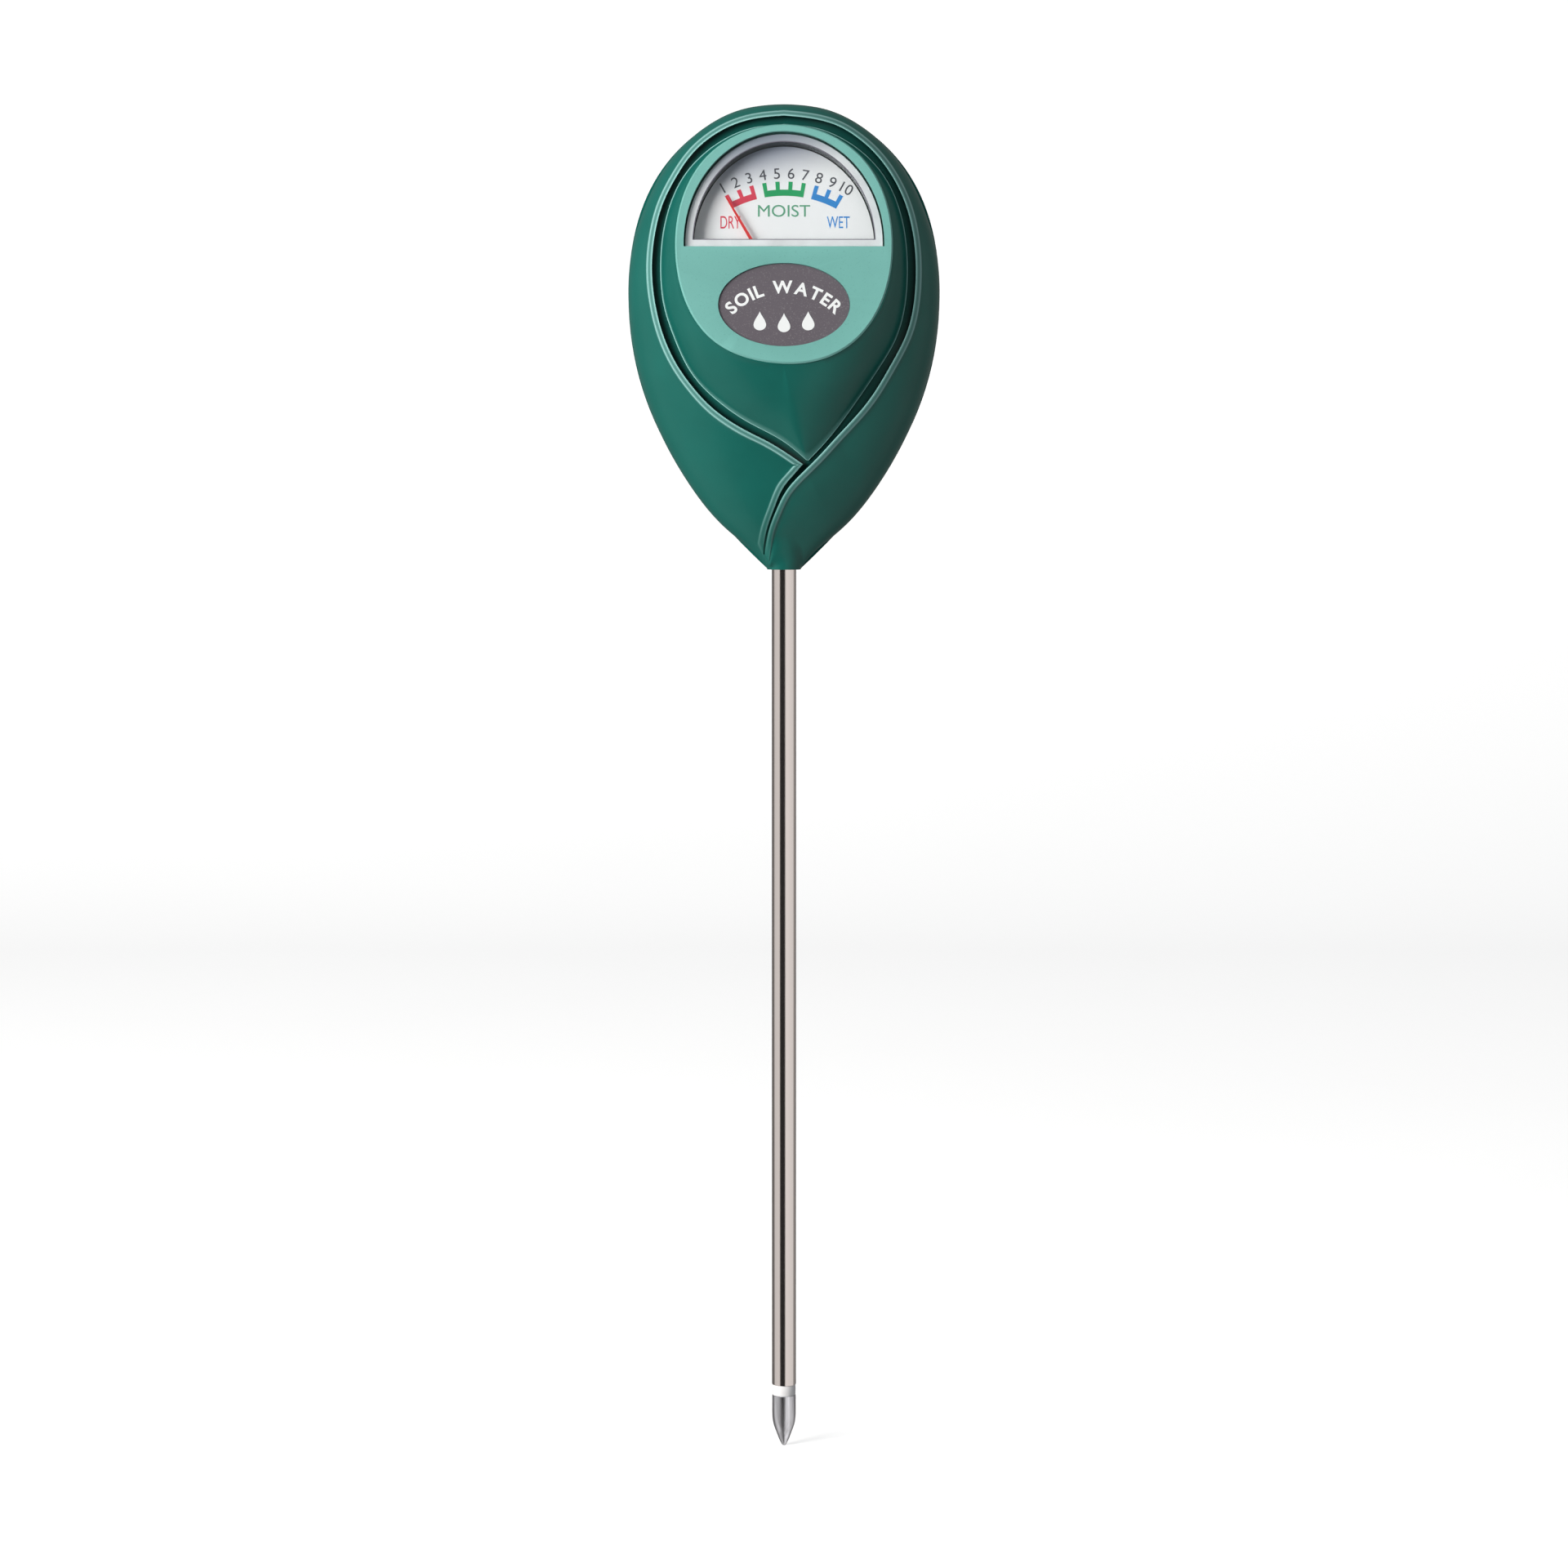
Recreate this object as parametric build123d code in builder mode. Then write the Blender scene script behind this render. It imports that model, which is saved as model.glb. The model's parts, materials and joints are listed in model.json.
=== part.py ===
from build123d import *
import math
import os

# Analogue soil moisture meter: an egg-shaped head with a moving-coil movement, on a probe with
# two electrodes.
#
# Frame: origin on the probe's axis where the probe leaves the head, +Z up through the head and
# -Y towards the reader.
# The dial parts lie square to a face plane that leans back by FACE_TILT to be read from above.
# On that plane x is to the right, y runs up the face and the normal points out; its origin
# is on the pointer's axis. Depths called *_FRONT and *_BACK are along that normal: minus goes into
# the head.
# Lengths are in millimetres and angles in degrees.

# ---- driving dimensions: head ----
HEAD_HEIGHT = 94.0
HEAD_HALF_WIDTH = 31.6
FRONT_DEPTH = 16.4
REAR_DEPTH = 15.0
WALL = 2.0
CAVITY_FRONT_DEPTH = 13.6
CAVITY_REAR_DEPTH = 13.0
NECK_HALF_WIDTH = 3.2
FACE_TILT = 15.0
FACE_Y = -16.4
FACE_Z = 55.4

# ---- driving dimensions: probe ----
TUBE_R = 2.5
TUBE_BORE_R = 2.0
TUBE_LENGTH = 168.5
TUBE_TOP = 20.0
RING_LENGTH = 2.2
RING_R = 2.3
TIP_LENGTH = 10.7
TIP_R = 2.45
TIP_SHOULDER_R = 2.4
CORE_R = 0.45

# ---- driving dimensions: indicator ----
POINTER_REACH = 23.6
REST_ANGLE = 29.3
GAP = 0.05

sin_tilt = math.sin(math.radians(FACE_TILT))
cos_tilt = math.cos(math.radians(FACE_TILT))
outward = Vector(0, -cos_tilt, sin_tilt)
face = Plane(origin=(0, FACE_Y, FACE_Z), x_dir=(1, 0, 0), z_dir=outward)
rest = math.radians(REST_ANGLE)
coil_face = Plane(
    origin=face.origin,
    x_dir=face.x_dir * math.cos(rest) + face.y_dir * math.sin(rest),
    z_dir=outward,
)


# ---- head forms ----
# Half outline from the crown down to the neck, as shares of the half width and the height.
CROWN = (0.0, 1.0)
SHOULDER = (0.538, 0.9426)
WIDEST = (1.0, 0.5904)
CHEEK = (0.8038, 0.2989)
NECK = (NECK_HALF_WIDTH / HEAD_HALF_WIDTH, 0.0)
NECK_SLOPE = (-1.0, -0.93)
FRONT_TURN = -180
REAR_TURN = 180


def egg_side(inset):
    """Right-hand outline of the head, moved in by inset; called inside a BuildLine."""
    crown, shoulder, widest, cheek, neck = [
        (share[0] * (HEAD_HALF_WIDTH - inset), inset + share[1] * (HEAD_HEIGHT - 2 * inset))
        for share in (CROWN, SHOULDER, WIDEST, CHEEK, NECK)
    ]
    Spline(crown, shoulder, widest, tangents=[(1, 0), (0, -1)])
    Spline(widest, cheek, neck, tangents=[(0, -1), NECK_SLOPE])
    Line(neck, (0, inset))


def egg_half(inset, depth, turn):
    """Half of the egg-shaped form, in front of or behind the parting plane."""
    with BuildPart() as form:
        with BuildSketch(Plane.XZ):
            with BuildLine():
                egg_side(inset)
                Line((0, inset), (0, HEAD_HEIGHT - inset))
            make_face()
        revolve(axis=Axis.Z, revolution_arc=turn)
        scale(by=(1, depth / (HEAD_HALF_WIDTH - inset), 1))
    return form.part


# The panel on the front is a teardrop whose tip is off to the right, and a channel runs round it.
# Its foot lies on a plane that leans back a little, which keeps the channel at an even depth in the
# curved form.
FOOT_LEAN = 4.1
FOOT_Y = -13.63
foot_normal = Vector(0, -math.cos(math.radians(FOOT_LEAN)), math.sin(math.radians(FOOT_LEAN)))
foot = Plane(origin=(0, FOOT_Y, 0), x_dir=(1, 0, 0), z_dir=foot_normal)
PANEL_TOP = 89.6
PANEL_HALF_WIDTH = 24.85
PANEL_WIDEST_Z = 60.0
PANEL_TIP = (4.77, 22.2)
CHANNEL_WIDTH = 1.5
CHANNEL_DEPTH = 0.8
PANEL_WALL = 2.5
PANEL_WALL_INSET = 2.0
CLEAR_OF_HEAD = 30.0


def teardrop(grow):
    """Teardrop outline for the foot plane, moved out by grow."""
    top = (0, PANEL_TOP + grow)
    right_shoulder = (19.8 + 0.76 * grow, 79.5 + 0.65 * grow)
    left_shoulder = (-right_shoulder[0], right_shoulder[1])
    right = (PANEL_HALF_WIDTH + grow, PANEL_WIDEST_Z)
    right_flank = (19.1 + 0.87 * grow, 41.0 - 0.5 * grow)
    tip = (PANEL_TIP[0] - 0.3 * grow, PANEL_TIP[1] - 1.2 * grow)
    left_sweep = (-7.2 - 0.5 * grow, 29.3 - 0.87 * grow)
    left_flank = (-18.0 - 0.78 * grow, 38.3 - 0.62 * grow)
    left = (-right[0], right[1])
    with BuildSketch() as outline:
        with BuildLine():
            Spline(tip, right_flank, right, right_shoulder, top,
                   left_shoulder, left, left_flank, left_sweep, tip)
        make_face()
    return outline.sketch


# ---- dial face outline, on the face plane ----
PLATE_TOP = 35.1
PLATE_BOTTOM = -14.9
PLATE_HALF_WIDTH = 21.7
PLATE_LIP_BACK = -0.5
PLATE_BACK = -1.25
CLEAR_OF_FACE = 2.0
PLATE_SHOULDER = 0.5
PLATE_BEVEL = 0.3
OPENING_INSET = 1.35


def flip(point):
    """The same point on the left-hand side."""
    return (-point[0], point[1])


def dial_face(inset):
    """Rounded outline of the dial face, moved in by inset."""
    top = (0, PLATE_TOP - inset)
    upper = (14.7 - 0.7 * inset, 29.1 - 0.7 * inset)
    side = (PLATE_HALF_WIDTH - inset, 9.5)
    lower = (15.9 - 0.75 * inset, -8.3 + 0.65 * inset)
    bottom = (0, PLATE_BOTTOM + inset)
    with BuildSketch() as outline:
        with BuildLine():
            Spline(bottom, lower, side, upper, top, flip(upper), flip(side), flip(lower), periodic=True)
        make_face()
    return outline.sketch


# ---- half-elliptical window, on the face plane ----
WINDOW_HALF_WIDTH = 20.0
WINDOW_RISE = 23.3
WINDOW_CENTRE = 10.3
WINDOW_SILL = 9.36
REBATE = 0.45
REBATE_FRONT = -0.6


def window(inset, sill=None):
    """Half ellipse with a flat sill, moved in by inset; a sill height can be given instead."""
    floor = WINDOW_SILL + inset if sill is None else sill
    with BuildSketch() as shape:
        with Locations((0, WINDOW_CENTRE)):
            Ellipse(WINDOW_HALF_WIDTH - inset, WINDOW_RISE - inset)
        with Locations((0, floor)):
            Rectangle(80, 80, align=(Align.CENTER, Align.MIN), mode=Mode.INTERSECT)
    return shape.sketch


# ---- neck and case fastenings ----
NECK_BASE_R = 3.4
NECK_MIDDLE = (4.6, 4.5)
NECK_TOP_R = 5.6
NECK_HEIGHT = 16.0
GROOVE_HEIGHT = 1.2
GROOVE_R = 2.3
COLLAR_FOOT = 4.0
COLLAR_TOP = 15.0
COLLAR_R = 3.4
KEY_FOOT = 10.0
KEY_HEIGHT = 2.0
KEY_R = 4.6
CASE_SCREWS = [(-24.0, 64.0), (24.0, 64.0), (0.0, 33.5)]
FRONT_POST_R = 2.8
REAR_POST_R = 3.4
SIDE_POST_DEPTH = 7.8
LOWER_POST_DEPTH = 13.2
PILOT_R = 1.05
PILOT_DEPTH = 7.0
CASE_SHANK_R = 1.05
CASE_SHANK_LENGTH = 9.5
CLEARANCE_R = 1.45
HEAD_SEAT_Y = 3.0
CASE_HEAD_R = 2.3
CASE_HEAD_HEIGHT = 1.6
COUNTERBORE_R = 2.55
LIP_HEIGHT = 1.5
LIP_OUTER = 1.15
LIP_START_Z = 14.0


def neck_cone():
    """Round boss that wraps the tube where it enters the head, as a whole turn."""
    with BuildPart() as cone:
        with BuildSketch(Plane.XZ):
            with BuildLine():
                Spline((NECK_BASE_R, 0), NECK_MIDDLE, (NECK_TOP_R, NECK_HEIGHT))
                Polyline((NECK_TOP_R, NECK_HEIGHT), (0, NECK_HEIGHT), (0, 0), (NECK_BASE_R, 0))
            make_face()
        revolve(axis=Axis.Z)
    return cone.part


def collar_seat():
    """What the tube and its keyed collar need cut out of the neck."""
    with BuildPart() as seat:
        with BuildSketch(Plane.XY):
            Circle(TUBE_R + GAP)
        extrude(amount=NECK_HEIGHT + 1)
        with BuildSketch(Plane.XY.offset(COLLAR_FOOT)):
            Circle(COLLAR_R + GAP)
        extrude(amount=NECK_HEIGHT + 1 - COLLAR_FOOT)
        with BuildSketch(Plane.XY.offset(KEY_FOOT)):
            RegularPolygon(KEY_R, 6)
        extrude(amount=KEY_HEIGHT)
    return seat.part


def lip_ring(outer, inner):
    """Band just inside the head's outline, stopping above the neck."""
    with BuildSketch() as band:
        with BuildLine():
            egg_side(outer)
            mirror(about=Plane.YZ)
        make_face()
        with BuildLine():
            egg_side(inner)
            mirror(about=Plane.YZ)
        make_face(mode=Mode.SUBTRACT)
        with Locations((0, LIP_START_Z)):
            Rectangle(80, 80, align=(Align.CENTER, Align.MAX), mode=Mode.SUBTRACT)
    return band.sketch


# ---- front shell ----
with BuildPart() as front_panel:
    with BuildSketch(foot.offset(-CHANNEL_DEPTH)):
        add(teardrop(0))
    with BuildSketch(face.offset(PLATE_LIP_BACK)):
        add(dial_face(-0.1))
    loft()
    with BuildSketch(foot.offset(-CHANNEL_DEPTH - PANEL_WALL)):
        add(teardrop(-PANEL_WALL_INSET))
    with BuildSketch(face.offset(PLATE_BACK)):
        add(dial_face(OPENING_INSET))
    loft(mode=Mode.SUBTRACT)

with BuildPart() as front_shell:
    add(egg_half(0, FRONT_DEPTH, FRONT_TURN))
    add(egg_half(WALL, CAVITY_FRONT_DEPTH, FRONT_TURN), mode=Mode.SUBTRACT)
    with BuildSketch(foot.offset(-CHANNEL_DEPTH)):
        add(teardrop(CHANNEL_WIDTH))
    extrude(amount=CLEAR_OF_HEAD, mode=Mode.SUBTRACT)
    add(front_panel.part)
    with BuildSketch(face.offset(PLATE_BACK)):
        add(dial_face(PLATE_SHOULDER - GAP))
    extrude(amount=CLEAR_OF_FACE, mode=Mode.SUBTRACT)
    with BuildSketch(Plane.XZ):
        with Locations(*CASE_SCREWS[:2]):
            Circle(FRONT_POST_R)
    extrude(amount=SIDE_POST_DEPTH)
    with BuildSketch(Plane.XZ):
        with Locations(CASE_SCREWS[2]):
            Circle(FRONT_POST_R)
    extrude(amount=LOWER_POST_DEPTH)
    with BuildPart(mode=Mode.PRIVATE) as front_neck:
        add(neck_cone())
        split(bisect_by=Plane.XZ, keep=Keep.TOP)
    add(front_neck.part)
    with BuildSketch(Plane.XZ):
        with Locations(*CASE_SCREWS):
            Circle(PILOT_R)
    extrude(amount=PILOT_DEPTH, mode=Mode.SUBTRACT)
    add(collar_seat(), mode=Mode.SUBTRACT)
    with BuildSketch(Plane.XZ):
        add(lip_ring(LIP_OUTER, WALL))
    extrude(amount=-LIP_HEIGHT)

# ---- rear shell ----
with BuildPart() as rear_posts:
    add(egg_half(0.5, REAR_DEPTH - 0.5, REAR_TURN))
    with BuildSketch(Plane.XZ):
        with Locations(*CASE_SCREWS):
            Circle(REAR_POST_R)
    extrude(amount=-CLEAR_OF_HEAD, mode=Mode.INTERSECT)

with BuildPart() as rear_shell:
    add(egg_half(0, REAR_DEPTH, REAR_TURN))
    add(egg_half(WALL, CAVITY_REAR_DEPTH, REAR_TURN), mode=Mode.SUBTRACT)
    add(rear_posts.part)
    with BuildPart(mode=Mode.PRIVATE) as rear_neck:
        add(neck_cone())
        split(bisect_by=Plane.XZ, keep=Keep.BOTTOM)
    add(rear_neck.part)
    with BuildSketch(Plane.XZ):
        add(lip_ring(LIP_OUTER - GAP, WALL + 0.3))
    extrude(amount=-LIP_HEIGHT - GAP, mode=Mode.SUBTRACT)
    with BuildSketch(Plane.XZ):
        with Locations(*CASE_SCREWS):
            Circle(CLEARANCE_R)
    extrude(amount=-CLEAR_OF_HEAD, mode=Mode.SUBTRACT)
    with BuildSketch(Plane.XZ.offset(-HEAD_SEAT_Y)):
        with Locations(*CASE_SCREWS):
            Circle(COUNTERBORE_R)
    extrude(amount=-CLEAR_OF_HEAD, mode=Mode.SUBTRACT)
    add(collar_seat(), mode=Mode.SUBTRACT)

# ---- face plate, badge and lens ----
BADGE_CENTRE = -2.75
BADGE_HALF_WIDTH = 13.1
BADGE_HALF_HEIGHT = 8.65
BADGE_FRONT = -0.35
BADGE_BACK = -0.6
LENS_FRONT = -0.15
LENS_FOOT = -4.6
LENS_GAP = 0.15
LENS_WALL = 1.6
LENS_THICKNESS = 1.0
LENS_SILL_FOOT = -1.75
LENS_BEVEL = 0.5
EARS = [(-16.2, 0.0), (16.2, 0.0)]
EAR_BOSS_R = 2.1
EAR_PILOT_R = 0.75
EAR_PILOT_DEPTH = 2.7

with BuildPart() as face_plate:
    with BuildSketch(face.offset(PLATE_LIP_BACK)):
        add(dial_face(0))
    extrude(amount=-PLATE_LIP_BACK - PLATE_BEVEL)
    with BuildSketch(face.offset(-PLATE_BEVEL)):
        add(dial_face(0))
    with BuildSketch(face):
        add(dial_face(PLATE_BEVEL))
    loft()
    with BuildSketch(face.offset(PLATE_BACK)):
        add(dial_face(PLATE_SHOULDER))
    extrude(amount=PLATE_LIP_BACK - PLATE_BACK)
    with BuildSketch(face.offset(PLATE_BACK)):
        add(window(0))
    extrude(amount=CLEAR_OF_FACE, mode=Mode.SUBTRACT)
    with BuildSketch(face.offset(PLATE_BACK)):
        add(window(-REBATE))
    extrude(amount=REBATE_FRONT - PLATE_BACK, mode=Mode.SUBTRACT)
    with BuildSketch(face.offset(BADGE_BACK)):
        with Locations((0, BADGE_CENTRE)):
            Ellipse(BADGE_HALF_WIDTH, BADGE_HALF_HEIGHT)
    extrude(amount=CLEAR_OF_FACE, mode=Mode.SUBTRACT)
    with BuildSketch(face.offset(LENS_FOOT)):
        with Locations(*EARS):
            Circle(EAR_BOSS_R)
    extrude(amount=PLATE_BACK - LENS_FOOT)
    with BuildSketch(face.offset(LENS_FOOT)):
        with Locations(*EARS):
            Circle(EAR_PILOT_R)
    extrude(amount=EAR_PILOT_DEPTH, mode=Mode.SUBTRACT)

with BuildPart() as badge_plate:
    with BuildSketch(face.offset(BADGE_BACK)):
        with Locations((0, BADGE_CENTRE)):
            Ellipse(BADGE_HALF_WIDTH - GAP, BADGE_HALF_HEIGHT - GAP)
    extrude(amount=BADGE_FRONT - BADGE_BACK)

with BuildPart() as window_lens:
    with BuildSketch(face.offset(LENS_FOOT)):
        add(window(LENS_GAP))
    extrude(amount=LENS_FRONT - LENS_BEVEL - LENS_FOOT)
    with BuildSketch(face.offset(LENS_FRONT - LENS_BEVEL)):
        add(window(LENS_GAP))
    with BuildSketch(face.offset(LENS_FRONT)):
        add(window(LENS_GAP + LENS_BEVEL))
    loft()
    with BuildSketch(face.offset(PLATE_BACK)):
        add(window(GAP - REBATE))
    extrude(amount=REBATE_FRONT - PLATE_BACK)
    with BuildSketch(face.offset(LENS_FOOT)):
        add(window(LENS_GAP + LENS_WALL))
    extrude(amount=LENS_FRONT - LENS_THICKNESS - LENS_FOOT, mode=Mode.SUBTRACT)
    with BuildSketch(face.offset(LENS_FOOT)):
        with Locations((0, WINDOW_SILL - 1)):
            Rectangle(80, LENS_WALL + 1.2, align=(Align.CENTER, Align.MIN))
    extrude(amount=LENS_SILL_FOOT - LENS_FOOT, mode=Mode.SUBTRACT)

# ---- movement base: deck behind the dial, cup for the magnet and a floor for the rear bearing ----
DECK_FRONT = -4.6
DECK_BACK = -6.0
DECK_INSET = 1.9
DIAL_BACK = -4.2
DIAL_FRONT = -3.8
DIAL_INSET = 1.9
DIAL_SILL = 6.5
DIAL_SCREWS = [(-14.5, 8.0), (14.5, 8.0)]
DIAL_BOSS_BACK = -8.0
CUP_R = 10.4
YOKE_R = 9.0
YOKE_BORE_R = 7.0
YOKE_FRONT = -7.2
YOKE_BACK = -15.2
CUP_SHELF_R = 8.0
FLOOR_FRONT = -17.2
FLOOR_BACK = -18.6
BRIDGE_SCREWS = [(-11.2, 0.0), (11.2, 0.0)]
BRIDGE_BOSS_BACK = -9.0
BRIDGE_BACK = -5.0
BRIDGE_FRONT = -4.2
BRIDGE_HALF_HEIGHT = 2.2
BRIDGE_HALF_LENGTH = 13.1
SCREW_BOSS_R = 1.7
SMALL_PILOT_R = 0.8
SMALL_PILOT_FOOT = 0.4
SMALL_CLEARANCE_R = 0.95
EAR_CLEARANCE_R = 1.1
REAR_BEARING_R = 2.4
REAR_BEARING_HEIGHT = 1.2
JEWEL_SCREW_R = 1.0
LUGS = [(-4.6, -5.0), (4.6, -5.0)]
LUG_WIDTH = 2.2
LUG_THICKNESS = 0.5
LUG_FRONT = -16.8
LUG_BACK = -22.0


PIVOT = [(0.0, 0.0)]


def pads(back, front, radius, spots=PIVOT):
    """Round pads between two depths, on the pivot axis or at the given spots on the face."""
    with BuildPart() as solid:
        with BuildSketch(face.offset(back)):
            with Locations(*spots):
                Circle(radius)
        extrude(amount=front - back)
    return solid.part

with BuildPart() as movement_base:
    with BuildSketch(face.offset(DECK_BACK)):
        add(dial_face(DECK_INSET))
    extrude(amount=DECK_FRONT - DECK_BACK)
    with BuildSketch(face.offset(DECK_FRONT)):
        add(window(DIAL_INSET + GAP, DIAL_SILL))
    extrude(amount=DIAL_BACK - DECK_FRONT)
    add(pads(FLOOR_BACK, DECK_BACK, CUP_R))
    add(pads(DIAL_BOSS_BACK, DECK_BACK, SCREW_BOSS_R, DIAL_SCREWS))
    add(pads(BRIDGE_BOSS_BACK, DECK_BACK, SCREW_BOSS_R, BRIDGE_SCREWS))
    add(pads(FLOOR_BACK - REAR_BEARING_HEIGHT, FLOOR_BACK, REAR_BEARING_R))
    add(pads(YOKE_BACK, DIAL_BACK, YOKE_R + GAP), mode=Mode.SUBTRACT)
    add(pads(FLOOR_FRONT, YOKE_BACK, CUP_SHELF_R), mode=Mode.SUBTRACT)
    add(pads(FLOOR_BACK - REAR_BEARING_HEIGHT, FLOOR_FRONT, JEWEL_SCREW_R), mode=Mode.SUBTRACT)
    add(pads(DIAL_BOSS_BACK + SMALL_PILOT_FOOT, DIAL_BACK, SMALL_PILOT_R, DIAL_SCREWS),
        mode=Mode.SUBTRACT)
    add(pads(BRIDGE_BOSS_BACK + SMALL_PILOT_FOOT, DECK_FRONT, SMALL_PILOT_R, BRIDGE_SCREWS),
        mode=Mode.SUBTRACT)
    add(pads(DECK_BACK, DECK_FRONT, EAR_CLEARANCE_R, EARS), mode=Mode.SUBTRACT)
    with BuildSketch(face.offset(BRIDGE_BACK)):
        Rectangle(2 * BRIDGE_HALF_LENGTH + 0.2, 2 * BRIDGE_HALF_HEIGHT + 0.2)
    extrude(amount=DECK_FRONT - BRIDGE_BACK, mode=Mode.SUBTRACT)
    with BuildSketch(face.offset(FLOOR_BACK)):
        with Locations(*LUGS):
            Rectangle(LUG_WIDTH, LUG_THICKNESS)
    extrude(amount=FLOOR_FRONT - FLOOR_BACK, mode=Mode.SUBTRACT)

with BuildPart() as dial_plate:
    with BuildSketch(face.offset(DIAL_BACK)):
        add(window(DIAL_INSET, DIAL_SILL))
        with Locations(*DIAL_SCREWS):
            Circle(SMALL_CLEARANCE_R, mode=Mode.SUBTRACT)
    extrude(amount=DIAL_FRONT - DIAL_BACK)


# ---- fastenings ----
def plane_axis(plane):
    """The plane's normal as an axis to sort along."""
    return Axis(plane.origin, plane.z_dir)


def recessed_screws(plane, spots, head_r, head_height, shank_r, shank_length):
    """Pan-head screws with a cross recess; the plane is under the heads and faces outwards."""
    with BuildPart() as screws:
        with BuildSketch(plane):
            with Locations(*spots):
                Circle(head_r)
        extrude(amount=head_height)
        chamfer(screws.edges().filter_by(GeomType.CIRCLE).group_by(plane_axis(plane))[-1], 0.25 * head_r)
        with BuildSketch(plane.offset(0.45 * head_height)):
            with Locations(*spots):
                Rectangle(1.1 * head_r, 0.3 * head_r)
                Rectangle(0.3 * head_r, 1.1 * head_r)
        extrude(amount=head_height, mode=Mode.SUBTRACT)
        with BuildSketch(plane):
            with Locations(*spots):
                Circle(shank_r)
        extrude(amount=-shank_length)
        chamfer(screws.edges().filter_by(GeomType.CIRCLE).group_by(plane_axis(plane))[0], 0.5 * shank_r)
    return screws


rear_face = Plane(origin=(0, HEAD_SEAT_Y, 0), x_dir=(1, 0, 0), z_dir=(0, 1, 0))
REAR_SPOTS = [(x, -z) for x, z in CASE_SCREWS]
case_screws = recessed_screws(
    rear_face, REAR_SPOTS, CASE_HEAD_R, CASE_HEAD_HEIGHT, CASE_SHANK_R, CASE_SHANK_LENGTH)
dial_screws = recessed_screws(face.offset(DIAL_FRONT), DIAL_SCREWS, 1.3, 0.6, SMALL_PILOT_R, 3.6)
bridge_screws = recessed_screws(face.offset(BRIDGE_FRONT), BRIDGE_SCREWS, 1.5, 0.8, SMALL_PILOT_R, 4.0)
deck_rear = Plane(origin=face.offset(DECK_BACK).origin, x_dir=(1, 0, 0), z_dir=-outward)
EAR_SPOTS = [(x, -y) for x, y in EARS]
movement_screws = recessed_screws(deck_rear, EAR_SPOTS, 1.7, 1.2, EAR_PILOT_R, 3.9)

# ---- fixed magnet system ----
MAGNET_R = 4.2
MAGNET_FRONT = -8.4
MAGNET_BACK = -14.0
ARM_FRONT = -10.6
ARM_BACK = -11.8
COLLET_R = 4.7

with BuildPart() as yoke_ring:
    add(pads(YOKE_BACK, YOKE_FRONT, YOKE_R))
    add(pads(YOKE_BACK, YOKE_FRONT, YOKE_BORE_R), mode=Mode.SUBTRACT)
    chamfer(yoke_ring.edges().filter_by(GeomType.CIRCLE), 0.3)

with BuildPart() as magnet_core:
    add(pads(MAGNET_BACK, MAGNET_FRONT, MAGNET_R))
    chamfer(magnet_core.edges().filter_by(GeomType.CIRCLE), 0.3)

with BuildPart() as core_bracket:
    add(pads(ARM_BACK, ARM_FRONT, COLLET_R))
    with BuildSketch(face.offset(ARM_BACK)):
        Rectangle(2.0, 2 * YOKE_BORE_R - 0.15)
    extrude(amount=ARM_FRONT - ARM_BACK)
    add(pads(ARM_BACK, ARM_FRONT, MAGNET_R), mode=Mode.SUBTRACT)

# ---- bearings ----
JEWEL_R = 0.6
JEWEL_THICKNESS = 0.5
FRONT_JEWEL_BACK = -5.0
REAR_JEWEL_FRONT = -17.1
BRIDGE_BOSS_R = 1.5
BRIDGE_BOSS_FRONT = -3.4

with BuildPart() as bearing_bridge:
    with BuildSketch(face.offset(BRIDGE_BACK)):
        Rectangle(2 * BRIDGE_HALF_LENGTH, 2 * BRIDGE_HALF_HEIGHT)
        fillet(vertices(), 1.2)
    extrude(amount=BRIDGE_FRONT - BRIDGE_BACK)
    add(pads(BRIDGE_FRONT, BRIDGE_BOSS_FRONT, BRIDGE_BOSS_R))
    add(pads(BRIDGE_BACK, BRIDGE_BOSS_FRONT, JEWEL_SCREW_R), mode=Mode.SUBTRACT)
    add(pads(BRIDGE_BACK, BRIDGE_FRONT, SMALL_CLEARANCE_R, BRIDGE_SCREWS), mode=Mode.SUBTRACT)


JEWELS = [(FRONT_JEWEL_BACK, FRONT_JEWEL_BACK + JEWEL_THICKNESS),
          (REAR_JEWEL_FRONT - JEWEL_THICKNESS, REAR_JEWEL_FRONT)]
FRONT_SCREW = (FRONT_JEWEL_BACK, -3.15)
REAR_SCREW = (-20.3, REAR_JEWEL_FRONT)

with BuildPart() as jewel_screws:
    for back, front in (FRONT_SCREW, REAR_SCREW):
        add(pads(back, front, JEWEL_SCREW_R))
    for back, front in JEWELS:
        add(pads(back, front, JEWEL_R), mode=Mode.SUBTRACT)
    for depth in (FRONT_SCREW[1] - 0.4, REAR_SCREW[0]):
        with BuildSketch(face.offset(depth)):
            Rectangle(2.4, 0.35)
        extrude(amount=0.4, mode=Mode.SUBTRACT)

PIN_R = 0.25
PIN_BASE_R = 0.9
PIN_REACH = 0.2
PIN_CLEARANCE = 0.08
JEWEL_CUP_DEPTH = 0.3

with BuildPart() as jewels:
    for back, front in JEWELS:
        add(pads(back, front, JEWEL_R))
    front_cup = (FRONT_JEWEL_BACK, FRONT_JEWEL_BACK + JEWEL_CUP_DEPTH)
    rear_cup = (REAR_JEWEL_FRONT - JEWEL_CUP_DEPTH, REAR_JEWEL_FRONT)
    for back, front in (front_cup, rear_cup):
        add(pads(back, front, PIN_R + PIN_CLEARANCE), mode=Mode.SUBTRACT)

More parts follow.
